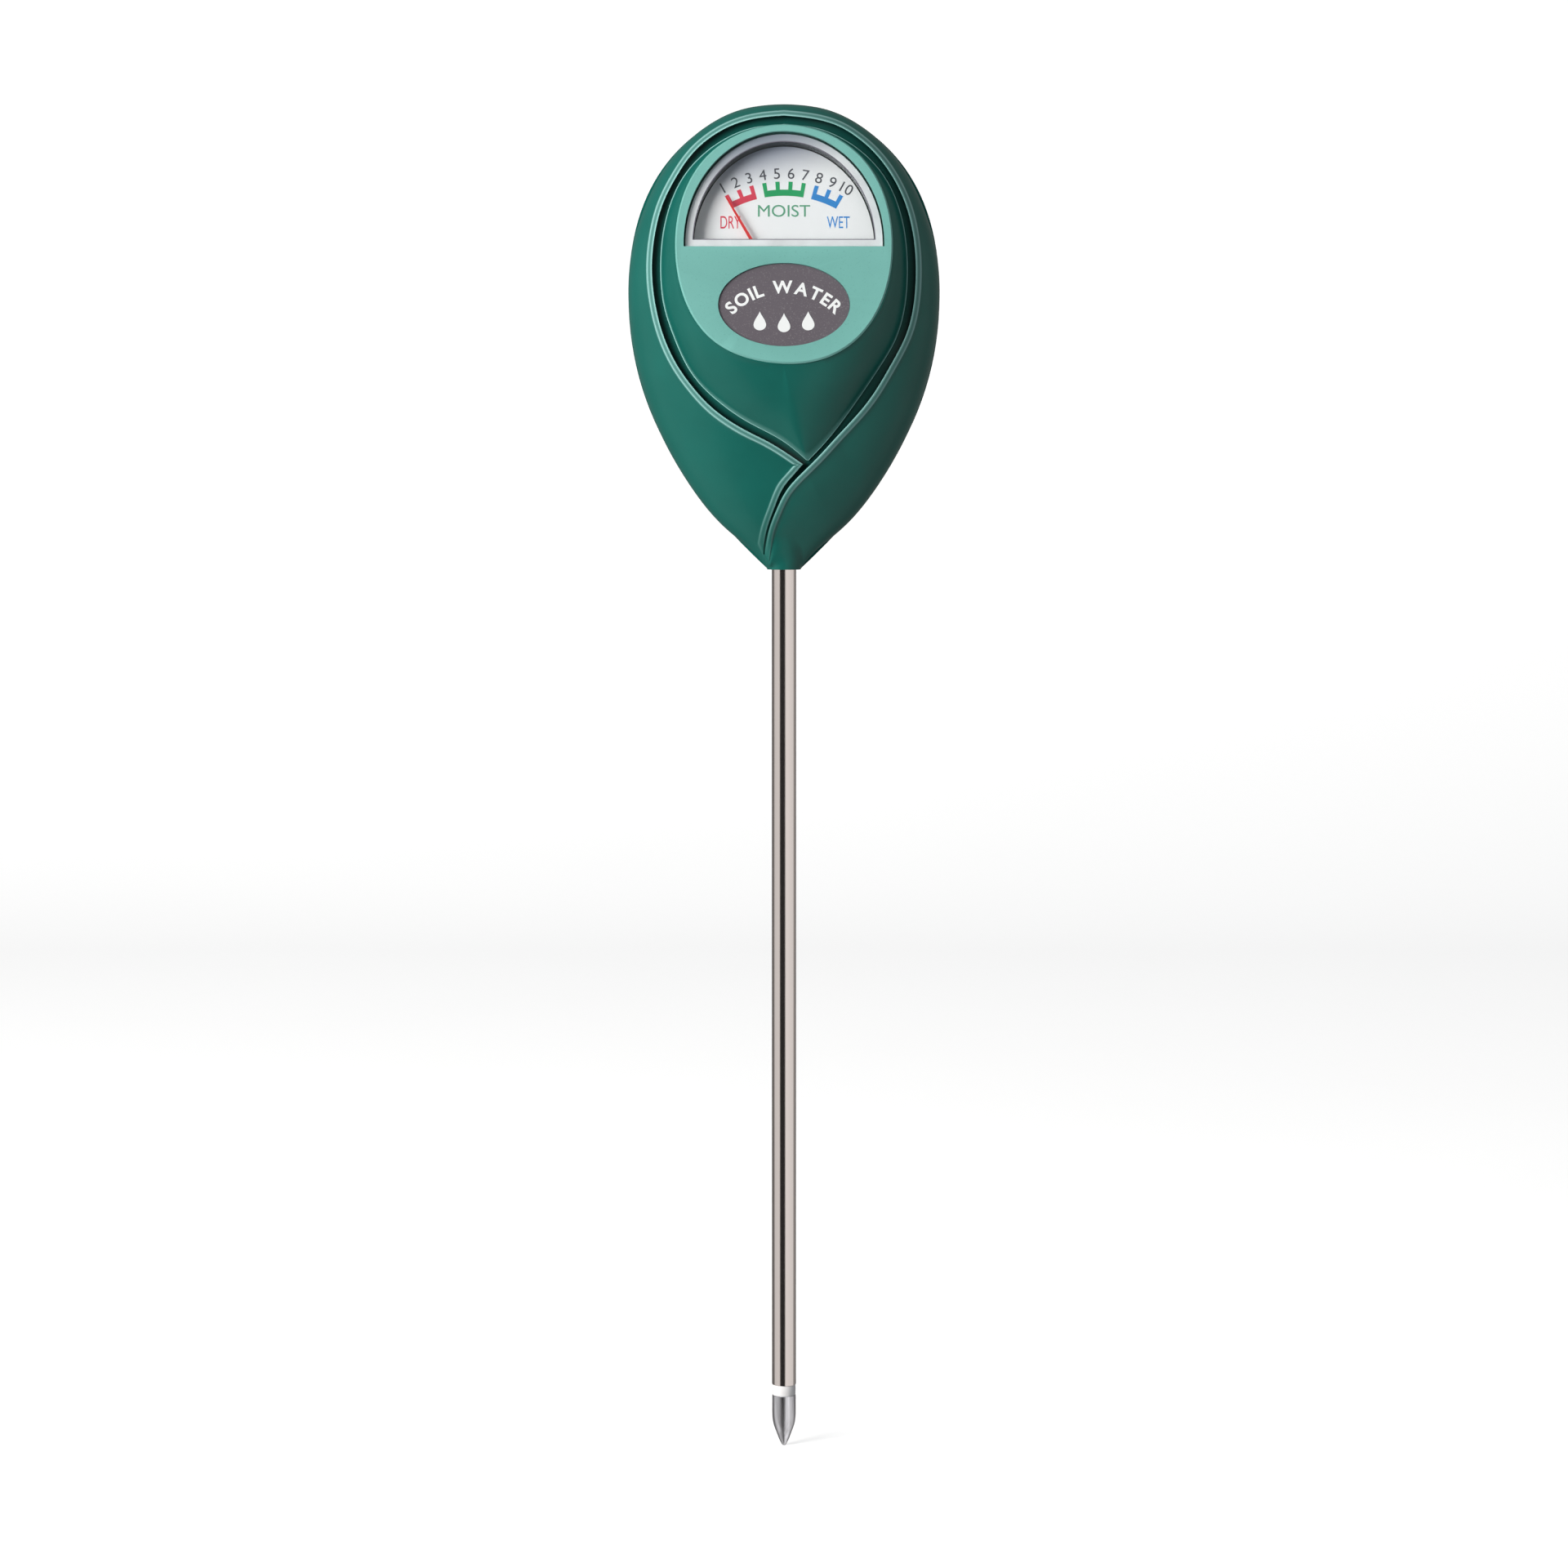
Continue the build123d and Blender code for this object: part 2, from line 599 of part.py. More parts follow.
# ---- moving coil and pointer, drawn at rest on the first mark ----
COIL_FRONT = -6.5
COIL_BACK = -15.9
COIL_HALF_SPAN = 6.5
COIL_WIDTH = 3.0
FORMER_FRONT = -7.5
FORMER_BACK = -14.9
FORMER_HALF_SPAN = 5.4
FORMER_WALL = 0.4
HUB_FRONT = -6.2
BLADE_BACK = -2.9
BLADE_FRONT = -2.6
RISER_IN = 3.9
RISER_OUT = 4.4
POINTER_ROOT_WIDTH = 0.9
POINTER_TIP_WIDTH = 0.3
BALANCE_THICKNESS = 0.3

coil_section = Plane(origin=coil_face.origin, x_dir=coil_face.x_dir, z_dir=-coil_face.y_dir)


def coil_block(half_span, back, front, width):
    """Rounded block on the pivot axis that spans the coil's diameter."""
    with BuildPart() as block:
        with BuildSketch(coil_section):
            with Locations((0, (back + front) / 2)):
                RectangleRounded(2 * half_span, front - back, 0.6)
        extrude(amount=width / 2, both=True)
    return block.part


with BuildPart() as coil_former:
    add(coil_block(FORMER_HALF_SPAN, FORMER_BACK, FORMER_FRONT, COIL_WIDTH))
    inner_span = FORMER_HALF_SPAN - FORMER_WALL
    add(coil_block(inner_span, FORMER_BACK + FORMER_WALL, FORMER_FRONT - FORMER_WALL, 2 * COIL_WIDTH),
        mode=Mode.SUBTRACT)

with BuildPart() as coil_winding:
    add(coil_block(COIL_HALF_SPAN, COIL_BACK, COIL_FRONT, COIL_WIDTH))
    add(coil_block(FORMER_HALF_SPAN, FORMER_BACK, FORMER_FRONT, 2 * COIL_WIDTH), mode=Mode.SUBTRACT)

with BuildPart() as pivot_pins:
    add(pads(COIL_FRONT, COIL_FRONT + 0.5, PIN_BASE_R))
    add(pads(COIL_FRONT, FRONT_JEWEL_BACK + PIN_REACH, PIN_R))
    add(pads(COIL_BACK - 0.4, COIL_BACK, PIN_BASE_R))
    add(pads(REAR_JEWEL_FRONT - PIN_REACH, COIL_BACK, PIN_R))

with BuildPart() as pointer:
    with BuildSketch(coil_face.offset(COIL_FRONT)):
        Circle(2.2)
        Rectangle(1.0, 2 * RISER_OUT)
        Circle(PIN_BASE_R, mode=Mode.SUBTRACT)
    extrude(amount=HUB_FRONT - COIL_FRONT)
    with BuildSketch(coil_face.offset(COIL_FRONT)):
        with Locations((0, RISER_IN)):
            Rectangle(1.0, RISER_OUT - RISER_IN, align=(Align.CENTER, Align.MIN))
    extrude(amount=BLADE_FRONT - COIL_FRONT)
    with BuildSketch(coil_face.offset(BLADE_BACK)):
        with BuildLine():
            Polyline(
                (-POINTER_ROOT_WIDTH / 2, RISER_IN),
                (-POINTER_TIP_WIDTH / 2, POINTER_REACH),
                (POINTER_TIP_WIDTH / 2, POINTER_REACH),
                (POINTER_ROOT_WIDTH / 2, RISER_IN),
                close=True,
            )
        make_face()
    extrude(amount=BLADE_FRONT - BLADE_BACK)

with BuildPart() as balance_weights:
    with BuildSketch(coil_face.offset(HUB_FRONT)):
        with Locations((0, -3.3)):
            Rectangle(2.4, 1.6)
    extrude(amount=BALANCE_THICKNESS)

# ---- zero adjuster and hairsprings ----
ZERO_ARM_FRONT = -3.75
ZERO_ARM_BACK = -4.15
SPRING_INNER_R = 0.8
SPRING_OUTER_R = 2.9
SPRING_TURNS = 3
SPRING_WIDTH = 0.16
SPRING_HEIGHT = 0.3
FRONT_SPRING_BACK = -5.75
REAR_SPRING_BACK = -16.95


def hairspring(back):
    """Flat spiral round the pivot with a collet at its inner end."""
    steps = 12 * SPRING_TURNS
    pitch = (SPRING_OUTER_R - SPRING_INNER_R) / steps

    def spiral(offset):
        return [
            ((SPRING_INNER_R + pitch * k + offset) * math.cos(math.radians(30 * k - 90)),
             (SPRING_INNER_R + pitch * k + offset) * math.sin(math.radians(30 * k - 90)))
            for k in range(steps + 1)
        ]

    inner = spiral(-SPRING_WIDTH / 2)
    outer = spiral(SPRING_WIDTH / 2)
    with BuildPart() as spring:
        with BuildSketch(face.offset(back)):
            with BuildLine():
                Spline(*inner)
                Line(inner[-1], outer[-1])
                Spline(*outer)
                Line(inner[0], outer[0])
            make_face()
            Circle(SPRING_INNER_R)
            Circle(PIN_R + PIN_CLEARANCE, mode=Mode.SUBTRACT)
        extrude(amount=SPRING_HEIGHT)
    return spring


hairspring_front = hairspring(FRONT_SPRING_BACK)
hairspring_rear = hairspring(REAR_SPRING_BACK)

with BuildPart() as zero_arm:
    with BuildSketch(face.offset(ZERO_ARM_BACK)):
        Circle(2.3)
        with Locations((0, -1.9)):
            Rectangle(1.2, 4.6, align=(Align.CENTER, Align.MAX))
        Circle(BRIDGE_BOSS_R + GAP, mode=Mode.SUBTRACT)
    extrude(amount=ZERO_ARM_FRONT - ZERO_ARM_BACK)
    with BuildSketch(face.offset(FRONT_SPRING_BACK)):
        with Locations((0, -SPRING_OUTER_R - SPRING_WIDTH / 2 - GAP)):
            Rectangle(1.2, 0.35, align=(Align.CENTER, Align.MAX))
    extrude(amount=ZERO_ARM_BACK - FRONT_SPRING_BACK)

# ---- terminals ----
with BuildPart() as terminal_lugs:
    with BuildSketch(face.offset(LUG_BACK)):
        with Locations(*LUGS):
            Rectangle(LUG_WIDTH, LUG_THICKNESS)
    extrude(amount=LUG_FRONT - LUG_BACK)
    with BuildSketch(face.offset(FLOOR_BACK - 0.4)):
        with Locations(*LUGS):
            Rectangle(LUG_WIDTH + 0.8, LUG_THICKNESS + 0.8)
    extrude(amount=0.4)

# ---- probe ----
SPIGOT_R = 1.95
SPIGOT_LENGTH = 4.0
TIP_SPIGOT_R = 1.6
TIP_SPIGOT_LENGTH = 2.0
CORE_TOP = 25.0
CORE_FOOT_DEPTH = 6.0
INSULATION_R = 0.95
INSULATION_TOP = 22.0
TUBE_FOOT = -TUBE_LENGTH
RING_FOOT = TUBE_FOOT - RING_LENGTH
TIP_SHOULDER = RING_FOOT - 4.1
TIP_FOOT = RING_FOOT - TIP_LENGTH


def rod(foot, top, radius):
    """Round bar on the probe's axis."""
    with BuildPart() as bar:
        with BuildSketch(Plane.XY.offset(foot)):
            Circle(radius)
        extrude(amount=top - foot)
    return bar.part


with BuildPart() as probe_tube:
    add(rod(TUBE_FOOT, 0, TUBE_R))
    add(rod(0, GROOVE_HEIGHT, GROOVE_R))
    add(rod(GROOVE_HEIGHT, TUBE_TOP, TUBE_R))
    add(rod(TUBE_FOOT, TUBE_TOP, TUBE_BORE_R), mode=Mode.SUBTRACT)

with BuildPart() as probe_collar:
    add(rod(COLLAR_FOOT, COLLAR_TOP, COLLAR_R))
    with BuildSketch(Plane.XY.offset(KEY_FOOT)):
        RegularPolygon(KEY_R, 6)
    extrude(amount=KEY_HEIGHT)
    add(rod(COLLAR_FOOT, COLLAR_TOP, TUBE_R), mode=Mode.SUBTRACT)

with BuildPart() as insulator_ring:
    add(rod(RING_FOOT, TUBE_FOOT, RING_R))
    add(rod(TUBE_FOOT, TUBE_FOOT + SPIGOT_LENGTH, SPIGOT_R))
    add(rod(RING_FOOT - TIP_SPIGOT_LENGTH, RING_FOOT, TIP_SPIGOT_R))
    add(rod(RING_FOOT - TIP_SPIGOT_LENGTH, TUBE_FOOT + SPIGOT_LENGTH, CORE_R), mode=Mode.SUBTRACT)

with BuildPart() as probe_tip:
    with BuildSketch(Plane.XZ):
        with BuildLine():
            Line((0, RING_FOOT), (TIP_R, RING_FOOT))
            Line((TIP_R, RING_FOOT), (TIP_SHOULDER_R, TIP_SHOULDER))
            Spline((TIP_SHOULDER_R, TIP_SHOULDER), (1.6, RING_FOOT - 7.9), (0.35, TIP_FOOT),
                   tangents=[(0, -1), (-0.3, -1)])
            Polyline((0.35, TIP_FOOT), (0, TIP_FOOT), (0, RING_FOOT))
        make_face()
    revolve(axis=Axis.Z)
    add(rod(RING_FOOT - TIP_SPIGOT_LENGTH, RING_FOOT, TIP_SPIGOT_R), mode=Mode.SUBTRACT)
    add(rod(RING_FOOT - CORE_FOOT_DEPTH, RING_FOOT, CORE_R), mode=Mode.SUBTRACT)

with BuildPart() as core_wire:
    add(rod(RING_FOOT - CORE_FOOT_DEPTH, CORE_TOP, CORE_R))

with BuildPart() as core_insulation:
    add(rod(TUBE_FOOT + SPIGOT_LENGTH, INSULATION_TOP, INSULATION_R))
    add(rod(TUBE_FOOT + SPIGOT_LENGTH, INSULATION_TOP, CORE_R), mode=Mode.SUBTRACT)

TUBE_LUG_FOOT = 17.5
TUBE_LUG_HEIGHT = 0.8
TUBE_LUG_REACH = 6.4

with BuildPart() as tube_lug:
    with BuildSketch(Plane.XY.offset(TUBE_LUG_FOOT)):
        Circle(3.6)
        Rectangle(TUBE_LUG_REACH, 2.2, align=(Align.MAX, Align.CENTER))
        Circle(TUBE_R, mode=Mode.SUBTRACT)
    extrude(amount=TUBE_LUG_HEIGHT)

# ---- lead wires ----
WIRE_R = 0.55


def lead_wire(start, middle, low, end, arrival):
    """Insulated wire that leaves a terminal lug along its blade and arrives in a given direction."""
    with BuildPart() as wire:
        with BuildLine() as route:
            Spline(start, middle, low, end, tangents=[-outward, arrival])
        with BuildSketch(Plane(origin=route.line @ 0, z_dir=route.line % 0)):
            Circle(WIRE_R)
        sweep(path=route.line)
    return wire


left_start, right_start = [face.from_local_coords(Vector(x, y, LUG_BACK)) for x, y in LUGS]
down = (0, 0, -1)
core_end = (0, 0, CORE_TOP)
tube_lug_end = (-5.3, 0, TUBE_LUG_FOOT + TUBE_LUG_HEIGHT)
lead_wire_positive = lead_wire(right_start, (6.2, 5.2, 37.0), (3.4, 2.4, 29.3), core_end, down)
lead_wire_negative = lead_wire(left_start, (-6.2, 5.2, 37.0), (-6.2, 2.4, 27.0), tube_lug_end, down)

# ---- hand over ----
pieces = {
    "front_shell": front_shell,
    "rear_shell": rear_shell,
    "face_plate": face_plate,
    "badge_plate": badge_plate,
    "window_lens": window_lens,
    "dial_plate": dial_plate,
    "movement_base": movement_base,
    "case_screws": case_screws,
    "dial_screws": dial_screws,
    "bridge_screws": bridge_screws,
    "movement_screws": movement_screws,
    "yoke_ring": yoke_ring,
    "magnet_core": magnet_core,
    "core_bracket": core_bracket,
    "bearing_bridge": bearing_bridge,
    "jewel_screws": jewel_screws,
    "jewels": jewels,
    "coil_former": coil_former,
    "coil_winding": coil_winding,
    "pivot_pins": pivot_pins,
    "pointer": pointer,
    "balance_weights": balance_weights,
    "hairspring_front": hairspring_front,
    "hairspring_rear": hairspring_rear,
    "zero_arm": zero_arm,
    "terminal_lugs": terminal_lugs,
    "probe_tube": probe_tube,
    "probe_collar": probe_collar,
    "insulator_ring": insulator_ring,
    "probe_tip": probe_tip,
    "core_wire": core_wire,
    "core_insulation": core_insulation,
    "tube_lug": tube_lug,
    "lead_wire_positive": lead_wire_positive,
    "lead_wire_negative": lead_wire_negative,
}

os.makedirs("parts", exist_ok=True)
for name, piece in pieces.items():
    piece.part.label = name
    export_step(piece.part, f"parts/{name}.step")
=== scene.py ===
import math

import bmesh
import bpy
import numpy as np
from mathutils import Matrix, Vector
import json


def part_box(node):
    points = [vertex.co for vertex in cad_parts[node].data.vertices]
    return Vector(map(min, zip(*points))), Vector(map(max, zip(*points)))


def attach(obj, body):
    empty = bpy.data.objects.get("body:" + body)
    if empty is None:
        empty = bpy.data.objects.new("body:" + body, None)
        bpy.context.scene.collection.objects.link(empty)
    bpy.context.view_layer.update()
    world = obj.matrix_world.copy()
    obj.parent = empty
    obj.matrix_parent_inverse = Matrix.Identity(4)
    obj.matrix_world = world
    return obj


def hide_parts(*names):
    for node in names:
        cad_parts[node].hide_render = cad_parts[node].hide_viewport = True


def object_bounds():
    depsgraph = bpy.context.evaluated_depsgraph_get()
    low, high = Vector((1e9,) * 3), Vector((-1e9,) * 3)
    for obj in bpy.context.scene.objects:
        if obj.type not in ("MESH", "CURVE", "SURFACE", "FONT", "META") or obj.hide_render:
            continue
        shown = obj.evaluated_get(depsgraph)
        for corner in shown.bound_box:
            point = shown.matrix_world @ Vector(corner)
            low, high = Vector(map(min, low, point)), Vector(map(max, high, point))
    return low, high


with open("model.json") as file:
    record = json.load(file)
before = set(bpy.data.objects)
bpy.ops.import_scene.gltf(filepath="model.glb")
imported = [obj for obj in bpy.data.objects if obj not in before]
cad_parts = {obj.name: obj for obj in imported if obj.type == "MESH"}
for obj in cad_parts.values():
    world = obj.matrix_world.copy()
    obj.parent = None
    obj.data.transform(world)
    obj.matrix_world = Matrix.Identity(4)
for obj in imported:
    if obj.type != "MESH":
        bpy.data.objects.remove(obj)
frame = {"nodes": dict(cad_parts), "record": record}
cad_low, cad_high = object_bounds()
MM = 0.001

# ---- the face plane: x to the right, v up the face, n out to the reader ----
TILT = math.radians(15.0)
PIVOT = (0.0, -16.4, 55.4)


def on_face(u, v, n):
    """Row-frame point in mm from a place on the face plane."""
    return (
        u,
        PIVOT[1] + v * math.sin(TILT) - n * math.cos(TILT),
        PIVOT[2] + v * math.cos(TILT) + n * math.sin(TILT),
    )


# ---- mesh helpers ----
def make_mesh(name, verts_mm, faces, material, body="housing", smooth=True, sharp=None, painted_light=None):
    """A mesh piece from points in mm; sharp is the angle above which an edge stays crisp, and the last argument gives
    how much painted highlight (up to 1) or painted shade (down to -1) the surface gets at each point."""
    mesh = bpy.data.meshes.new(name)
    mesh.from_pydata([tuple(c * MM for c in v) for v in verts_mm], [], faces)
    if painted_light is not None:
        # Per-point painted light: positive for painted highlights, negative for painted shade.
        mesh.attributes.new("painted_light", "FLOAT", "POINT").data.foreach_set("value", painted_light)
    obj = bpy.data.objects.new(name, mesh)
    bpy.context.scene.collection.objects.link(obj)
    tidy_normals(mesh)
    mesh.shade_smooth() if smooth else mesh.shade_flat()
    if sharp:
        mesh.set_sharp_from_angle(angle=math.radians(sharp))
    mesh.materials.append(material)
    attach(obj, body)
    return obj


def tidy_normals(mesh):
    """Joins coincident points and turns every face outwards."""
    bm = bmesh.new()
    bm.from_mesh(mesh)
    bmesh.ops.remove_doubles(bm, verts=bm.verts, dist=2e-6)
    bmesh.ops.dissolve_degenerate(bm, edges=bm.edges, dist=1e-7)
    bmesh.ops.recalc_face_normals(bm, faces=bm.faces)
    bm.to_mesh(mesh)
    bm.free()


def ring_faces(rows, columns, closed=True):
    """Quads between successive rows of points."""
    faces = []
    last = columns if closed else columns - 1
    for r in range(rows - 1):
        for c in range(last):
            d = (c + 1) % columns
            faces.append((r * columns + c, r * columns + d, (r + 1) * columns + d, (r + 1) * columns + c))
    return faces


# ---- curves ----
def smooth_curve(points, steps=24):
    """Natural cubic curve through points, sampled densely."""
    p = np.array(points, float)
    t = np.concatenate([[0], np.cumsum(np.linalg.norm(np.diff(p, axis=0), axis=1))])
    n = len(p)
    h = np.diff(t)
    a = np.zeros((n, n))
    b = np.zeros((n, p.shape[1]))
    a[0, 0] = a[-1, -1] = 1
    for i in range(1, n - 1):
        a[i, i - 1:i + 2] = h[i - 1], 2 * (h[i - 1] + h[i]), h[i]
        b[i] = 6 * ((p[i + 1] - p[i]) / h[i] - (p[i] - p[i - 1]) / h[i - 1])
    m = np.linalg.solve(a, b)
    out = []
    for i in range(n - 1):
        for s in np.linspace(0, 1, steps, endpoint=False):
            x = s * h[i]
            out.append(
                p[i] + x * ((p[i + 1] - p[i]) / h[i] - h[i] * (2 * m[i] + m[i + 1]) / 6)
                + x * x * m[i] / 2 + x ** 3 * (m[i + 1] - m[i]) / (6 * h[i]))
    out.append(p[-1])
    return np.array(out)


def arc(points):
    return np.concatenate([[0], np.cumsum(np.linalg.norm(np.diff(points, axis=0), axis=1))])


def at_arc(points, s):
    length = arc(points)
    return np.stack([np.interp(s, length, points[:, k]) for k in range(points.shape[1])], axis=1)


def nearest_arc(points, spot):
    return arc(points)[np.argmin(np.linalg.norm(points - np.array(spot), axis=1))]


def mirrored(points):
    return [(-x, y) for x, y in points]


SIDE = [(0, 94), (8.6, 92.9), (17.0, 88.6), (23.5, 82.1), (28.2, 73.4), (30.9, 64.4), (31.6, 55.5), (30.3, 43.2),
        (26.3, 30.2), (19.3, 17.3), (12.15, 8.6), (5.0, 2.2), (3.2, 0.0)]
SIDE_CURVE = smooth_curve(SIDE)
FRONT_RATIO = 0.519
NECK = [(3.35, 0.0), (4.6, 4.5), (5.2, 9.0), (5.6, 16.0)]


def half_width(z):
    order = np.argsort(SIDE_CURVE[:, 1])
    return np.interp(z, SIDE_CURVE[order, 1], SIDE_CURVE[order, 0])


def soft_max(a, b, width):
    h = np.clip(0.5 + 0.5 * (a - b) / width, 0, 1)
    return b * (1 - h) + a * h + width * h * (1 - h)


def dome(x, z, ratio=FRONT_RATIO):
    """Depth of the plain egg-shaped form and its neck in front of the parting plane."""
    egg = ratio * np.sqrt(np.clip(half_width(z) ** 2 - x ** 2, 0, None))
    r = np.interp(z, [q[1] for q in NECK], [q[0] for q in NECK])
    cone = np.sqrt(np.clip(r ** 2 - x ** 2, 0, None))
    near_neck = np.clip((14.0 - z) / 4.0, 0, 1)
    return np.where(near_neck > 0, egg * (1 - near_neck) + soft_max(egg, cone, 0.6) * near_neck, egg)


def ease(t):
    """Smooth step from 0 to 1."""
    t = np.clip(t, 0, 1)
    return t * t * (3 - 2 * t)


def zipper(first, second, start):
    """Triangles between two closed loops of points whose indices start at the two given numbers."""
    fa, fb = arc(np.vstack([first, first[:1]])), arc(np.vstack([second, second[:1]]))
    fa, fb = fa / fa[-1], fb / fb[-1]
    faces, i, j = [], 0, 0
    na, nb = len(first), len(second)
    while i < na or j < nb:
        if j >= nb or (i < na and fa[i + 1] <= fb[j + 1]):
            faces.append((start[0] + i % na, start[0] + (i + 1) % na, start[1] + j % nb))
            i += 1
        else:
            faces.append((start[0] + i % na, start[1] + (j + 1) % nb, start[1] + j % nb))
            j += 1
    return faces


# ---- front case ----
RIGHT_EDGE = [(0, 90.9), (7.2, 90.0), (10.8, 88.9), (14.4, 86.8), (18, 83.7), (21.6, 79), (24.3, 73.4), (25.8, 67.5),
              (26.4, 60), (26.2, 55.4), (24.8, 48.2), (21.3, 41), (16.8, 33.8), (10.4, 26.6), (7.1, 23), (4.5, 20.4),
              (2.2, 18.1), (0.4, 15.9), (-1.6, 12), (-2.9, 8.6), (-3.6, 5.5), (-4.0, 3.0)]
LEFT_EDGE = [(0, 90.9), (-7.2, 90.0), (-10.8, 88.8), (-14.4, 86.8), (-18, 83.7), (-21.6, 78.6), (-24.2, 73.4),
             (-25.8, 67.3), (-26.4, 60), (-26.0, 55.0), (-24.5, 48.2), (-21.3, 41), (-18, 36.4), (-14.4, 32.6),
             (-10.8, 29.9), (-7.2, 27.8), (-3.6, 26.0), (0, 23.9), (3.9, 21.25)]
LEFT_TAIL = [(3.9, 21.25), (1.8, 18.9), (0, 16.7), (-1.9, 12.5), (-3.3, 8.6), (-4.0, 5.4), (-4.3, 3.4)]
RIGHT_PAIRS = [((0, 90.9), (0, 94)), ((18, 83.7), (21.8, 84.2)), ((26.4, 60), (31.5, 58)), ((21.3, 41), (27.9, 34)),
               ((10.4, 26.6), (18, 15.5)), ((4.5, 20.4), (11.3, 7.9)), ((0.4, 15.9), (6.4, 3.3)),
               ((-1.6, 12), (3.3, 0.2)), ((-2.9, 8.6), (1.4, 0)), ((-3.6, 5.5), (-0.7, 0)), ((-4.0, 3.0), (-2.7, 0))]
LEFT_PAIRS = [((0, 90.9), (0, 94)), ((-18, 83.7), (-21.8, 84.2)), ((-26.4, 60), (-31.5, 58)),
              ((-21.3, 41), (-29, 37)), ((-10.8, 29.9), (-25.3, 28)), ((-3.6, 26.0), (-22.8, 23)),
              ((3.9, 21.25), (-20, 18.4)), ((0, 16.7), (-16.8, 13.9)), ((-1.9, 12.5), (-13, 9.4)),
              ((-3.3, 8.6), (-8.6, 5.2)), ((-4.0, 5.4), (-5.4, 2.5)), ((-4.3, 3.4), (-3.5, 0.25))]
BEAD = [(0.04, 0.16), (0.13, 0.33), (0.28, 0.40), (0.62, 0.41), (0.95, 0.38), (1.12, 0.29), (1.26, 0.08),
        (1.4, 0.0)]
# Painted highlights along the bead's outer and inner edges, one amount per bead row.
BEAD_PAINTED_LIGHT = [0.1, 0.95, 0.5, 0.1, 0.35, 0.8, 0.2, 0.0]
CHANNEL_DROP = 1.0
LOBE_RISE = 1.0
LOBE_REACH = 0.8
OUT_ROWS = 22
CREASE_COLUMNS = 9.0


def strip(edge, outline, pairs, s, lobe_from, fade_from, tail_from):
    """Rows of points from the channel's outer wall to the head's outline, one column per edge point."""
    inner = at_arc(edge, s)
    keys_in = [nearest_arc(edge, a) for a, _ in pairs]
    keys_out = [nearest_arc(outline, b) for _, b in pairs]
    outer = at_arc(outline, np.interp(s, keys_in, keys_out))
    ray = outer - inner
    length = np.linalg.norm(ray, axis=1)
    ray = ray / length[:, None]
    tangent = np.gradient(inner, axis=0)
    tangent /= np.linalg.norm(tangent, axis=1)[:, None]
    lean = np.clip(np.abs(ray[:, 0] * tangent[:, 1] - ray[:, 1] * tangent[:, 0]), 0.45, 1)
    lobe = np.zeros(len(s)) if lobe_from is None else LOBE_RISE * np.clip((s - lobe_from) / 9.0, 0, 1)
    fade = np.ones(len(s)) if fade_from is None else 1 - 0.75 * np.clip((s - fade_from) / 6.0, 0, 1)
    squeeze = np.minimum(1, 0.62 * length * lean / BEAD[-1][0])
    rows = []
    for off, up in BEAD:
        along = off * squeeze / lean
        p = inner + ray * along[:, None]
        rows.append((p, up * fade * np.clip(squeeze, 0.6, 1) + lobe))
    done = BEAD[-1][0] * squeeze / lean
    for k in range(1, OUT_ROWS + 1):
        t = k / OUT_ROWS
        f = 1 - (1 - t) ** 2
        p = inner + ray * (done + (length - done) * f)[:, None]
        rows.append((p, lobe * (1 - ease(f / LOBE_REACH))))
    points = []
    for p, up in rows:
        depth = dome(p[:, 0], p[:, 1])
        points.append(np.stack([p[:, 0], -(depth + up), p[:, 1]], axis=1))
    points[-1][:, 1] = -dome(outer[:, 0], outer[:, 1]) * (np.abs(outer[:, 1]) < 0.05)
    tail = np.clip((s - tail_from) / (s[-1] - tail_from), 0, 1)
    floor = dome(inner[:, 0], inner[:, 1]) - CHANNEL_DROP * (1 - 0.8 * tail)
    base = np.stack([inner[:, 0], -floor, inner[:, 1]], axis=1)
    return [base] + points


def plate_side(inset):
    """Right-hand edge of the dial face in face coordinates, from its top to its bottom."""
    upper = (14.7 - 0.7 * inset, 29.1 - 0.7 * inset)
    side = (21.7 - inset, 9.5)
    lower = (15.9 - 0.75 * inset, -8.3 + 0.65 * inset)
    loop = [upper, side, lower]
    wrap = mirrored(loop[:1]) + [(0, 35.1 - inset)] + loop + [(0, -14.9 + inset)] + mirrored(loop[-1:])
    full = smooth_curve(wrap, 40)
    return full[40:-40]


SILL_RIGHT = [(0, 89.4), (7.0, 88.5), (13.7, 85.4), (20.2, 79.0), (23.9, 70), (24.9, 60), (24.4, 53), (22.4, 46),
              (19.4, 40.8), (13.0, 31.5), (8.4, 25.6), (4.9, 21.9)]
SILL_LEFT = [(0, 89.4), (-7.0, 88.5), (-13.7, 85.4), (-20.2, 79.0), (-23.9, 70), (-24.9, 60), (-24.2, 53),
             (-22, 46.2), (-18.5, 39.2), (-12.5, 33.1), (-7.0, 29.4), (0, 25.6), (4.5, 22.0)]
SILL_PAIRS_RIGHT = [((0, 90.9), (0, 89.4)), ((18, 83.7), (16.9, 82.6)), ((26.4, 60), (24.9, 60)),
                    ((21.3, 41), (20.2, 42.0)), ((10.4, 26.6), (9.5, 27.2)), ((4.9, 20.8), (4.9, 21.9))]
SILL_PAIRS_LEFT = [((0, 90.9), (0, 89.4)), ((-18, 83.7), (-16.9, 82.6)), ((-26.4, 60), (-24.9, 60)),
                   ((-18, 36.4), (-17, 37.6)), ((-3.6, 26.0), (-3, 27.1)), ((3.9, 21.25), (4.5, 22.0))]
PLATE_PAIRS = [((0, 89.4), 0.0), ((20.2, 79.0), 0.27), ((24.9, 60), 0.5), ((19.4, 40.8), 0.74), ((4.9, 21.9), 1.0)]


def matched(curve_from, curve_to, pairs, s):
    keys_a = [nearest_arc(curve_from, a) for a, _ in pairs]
    keys_b = [nearest_arc(curve_to, b) for _, b in pairs]
    return at_arc(curve_to, np.interp(s, keys_a, keys_b))


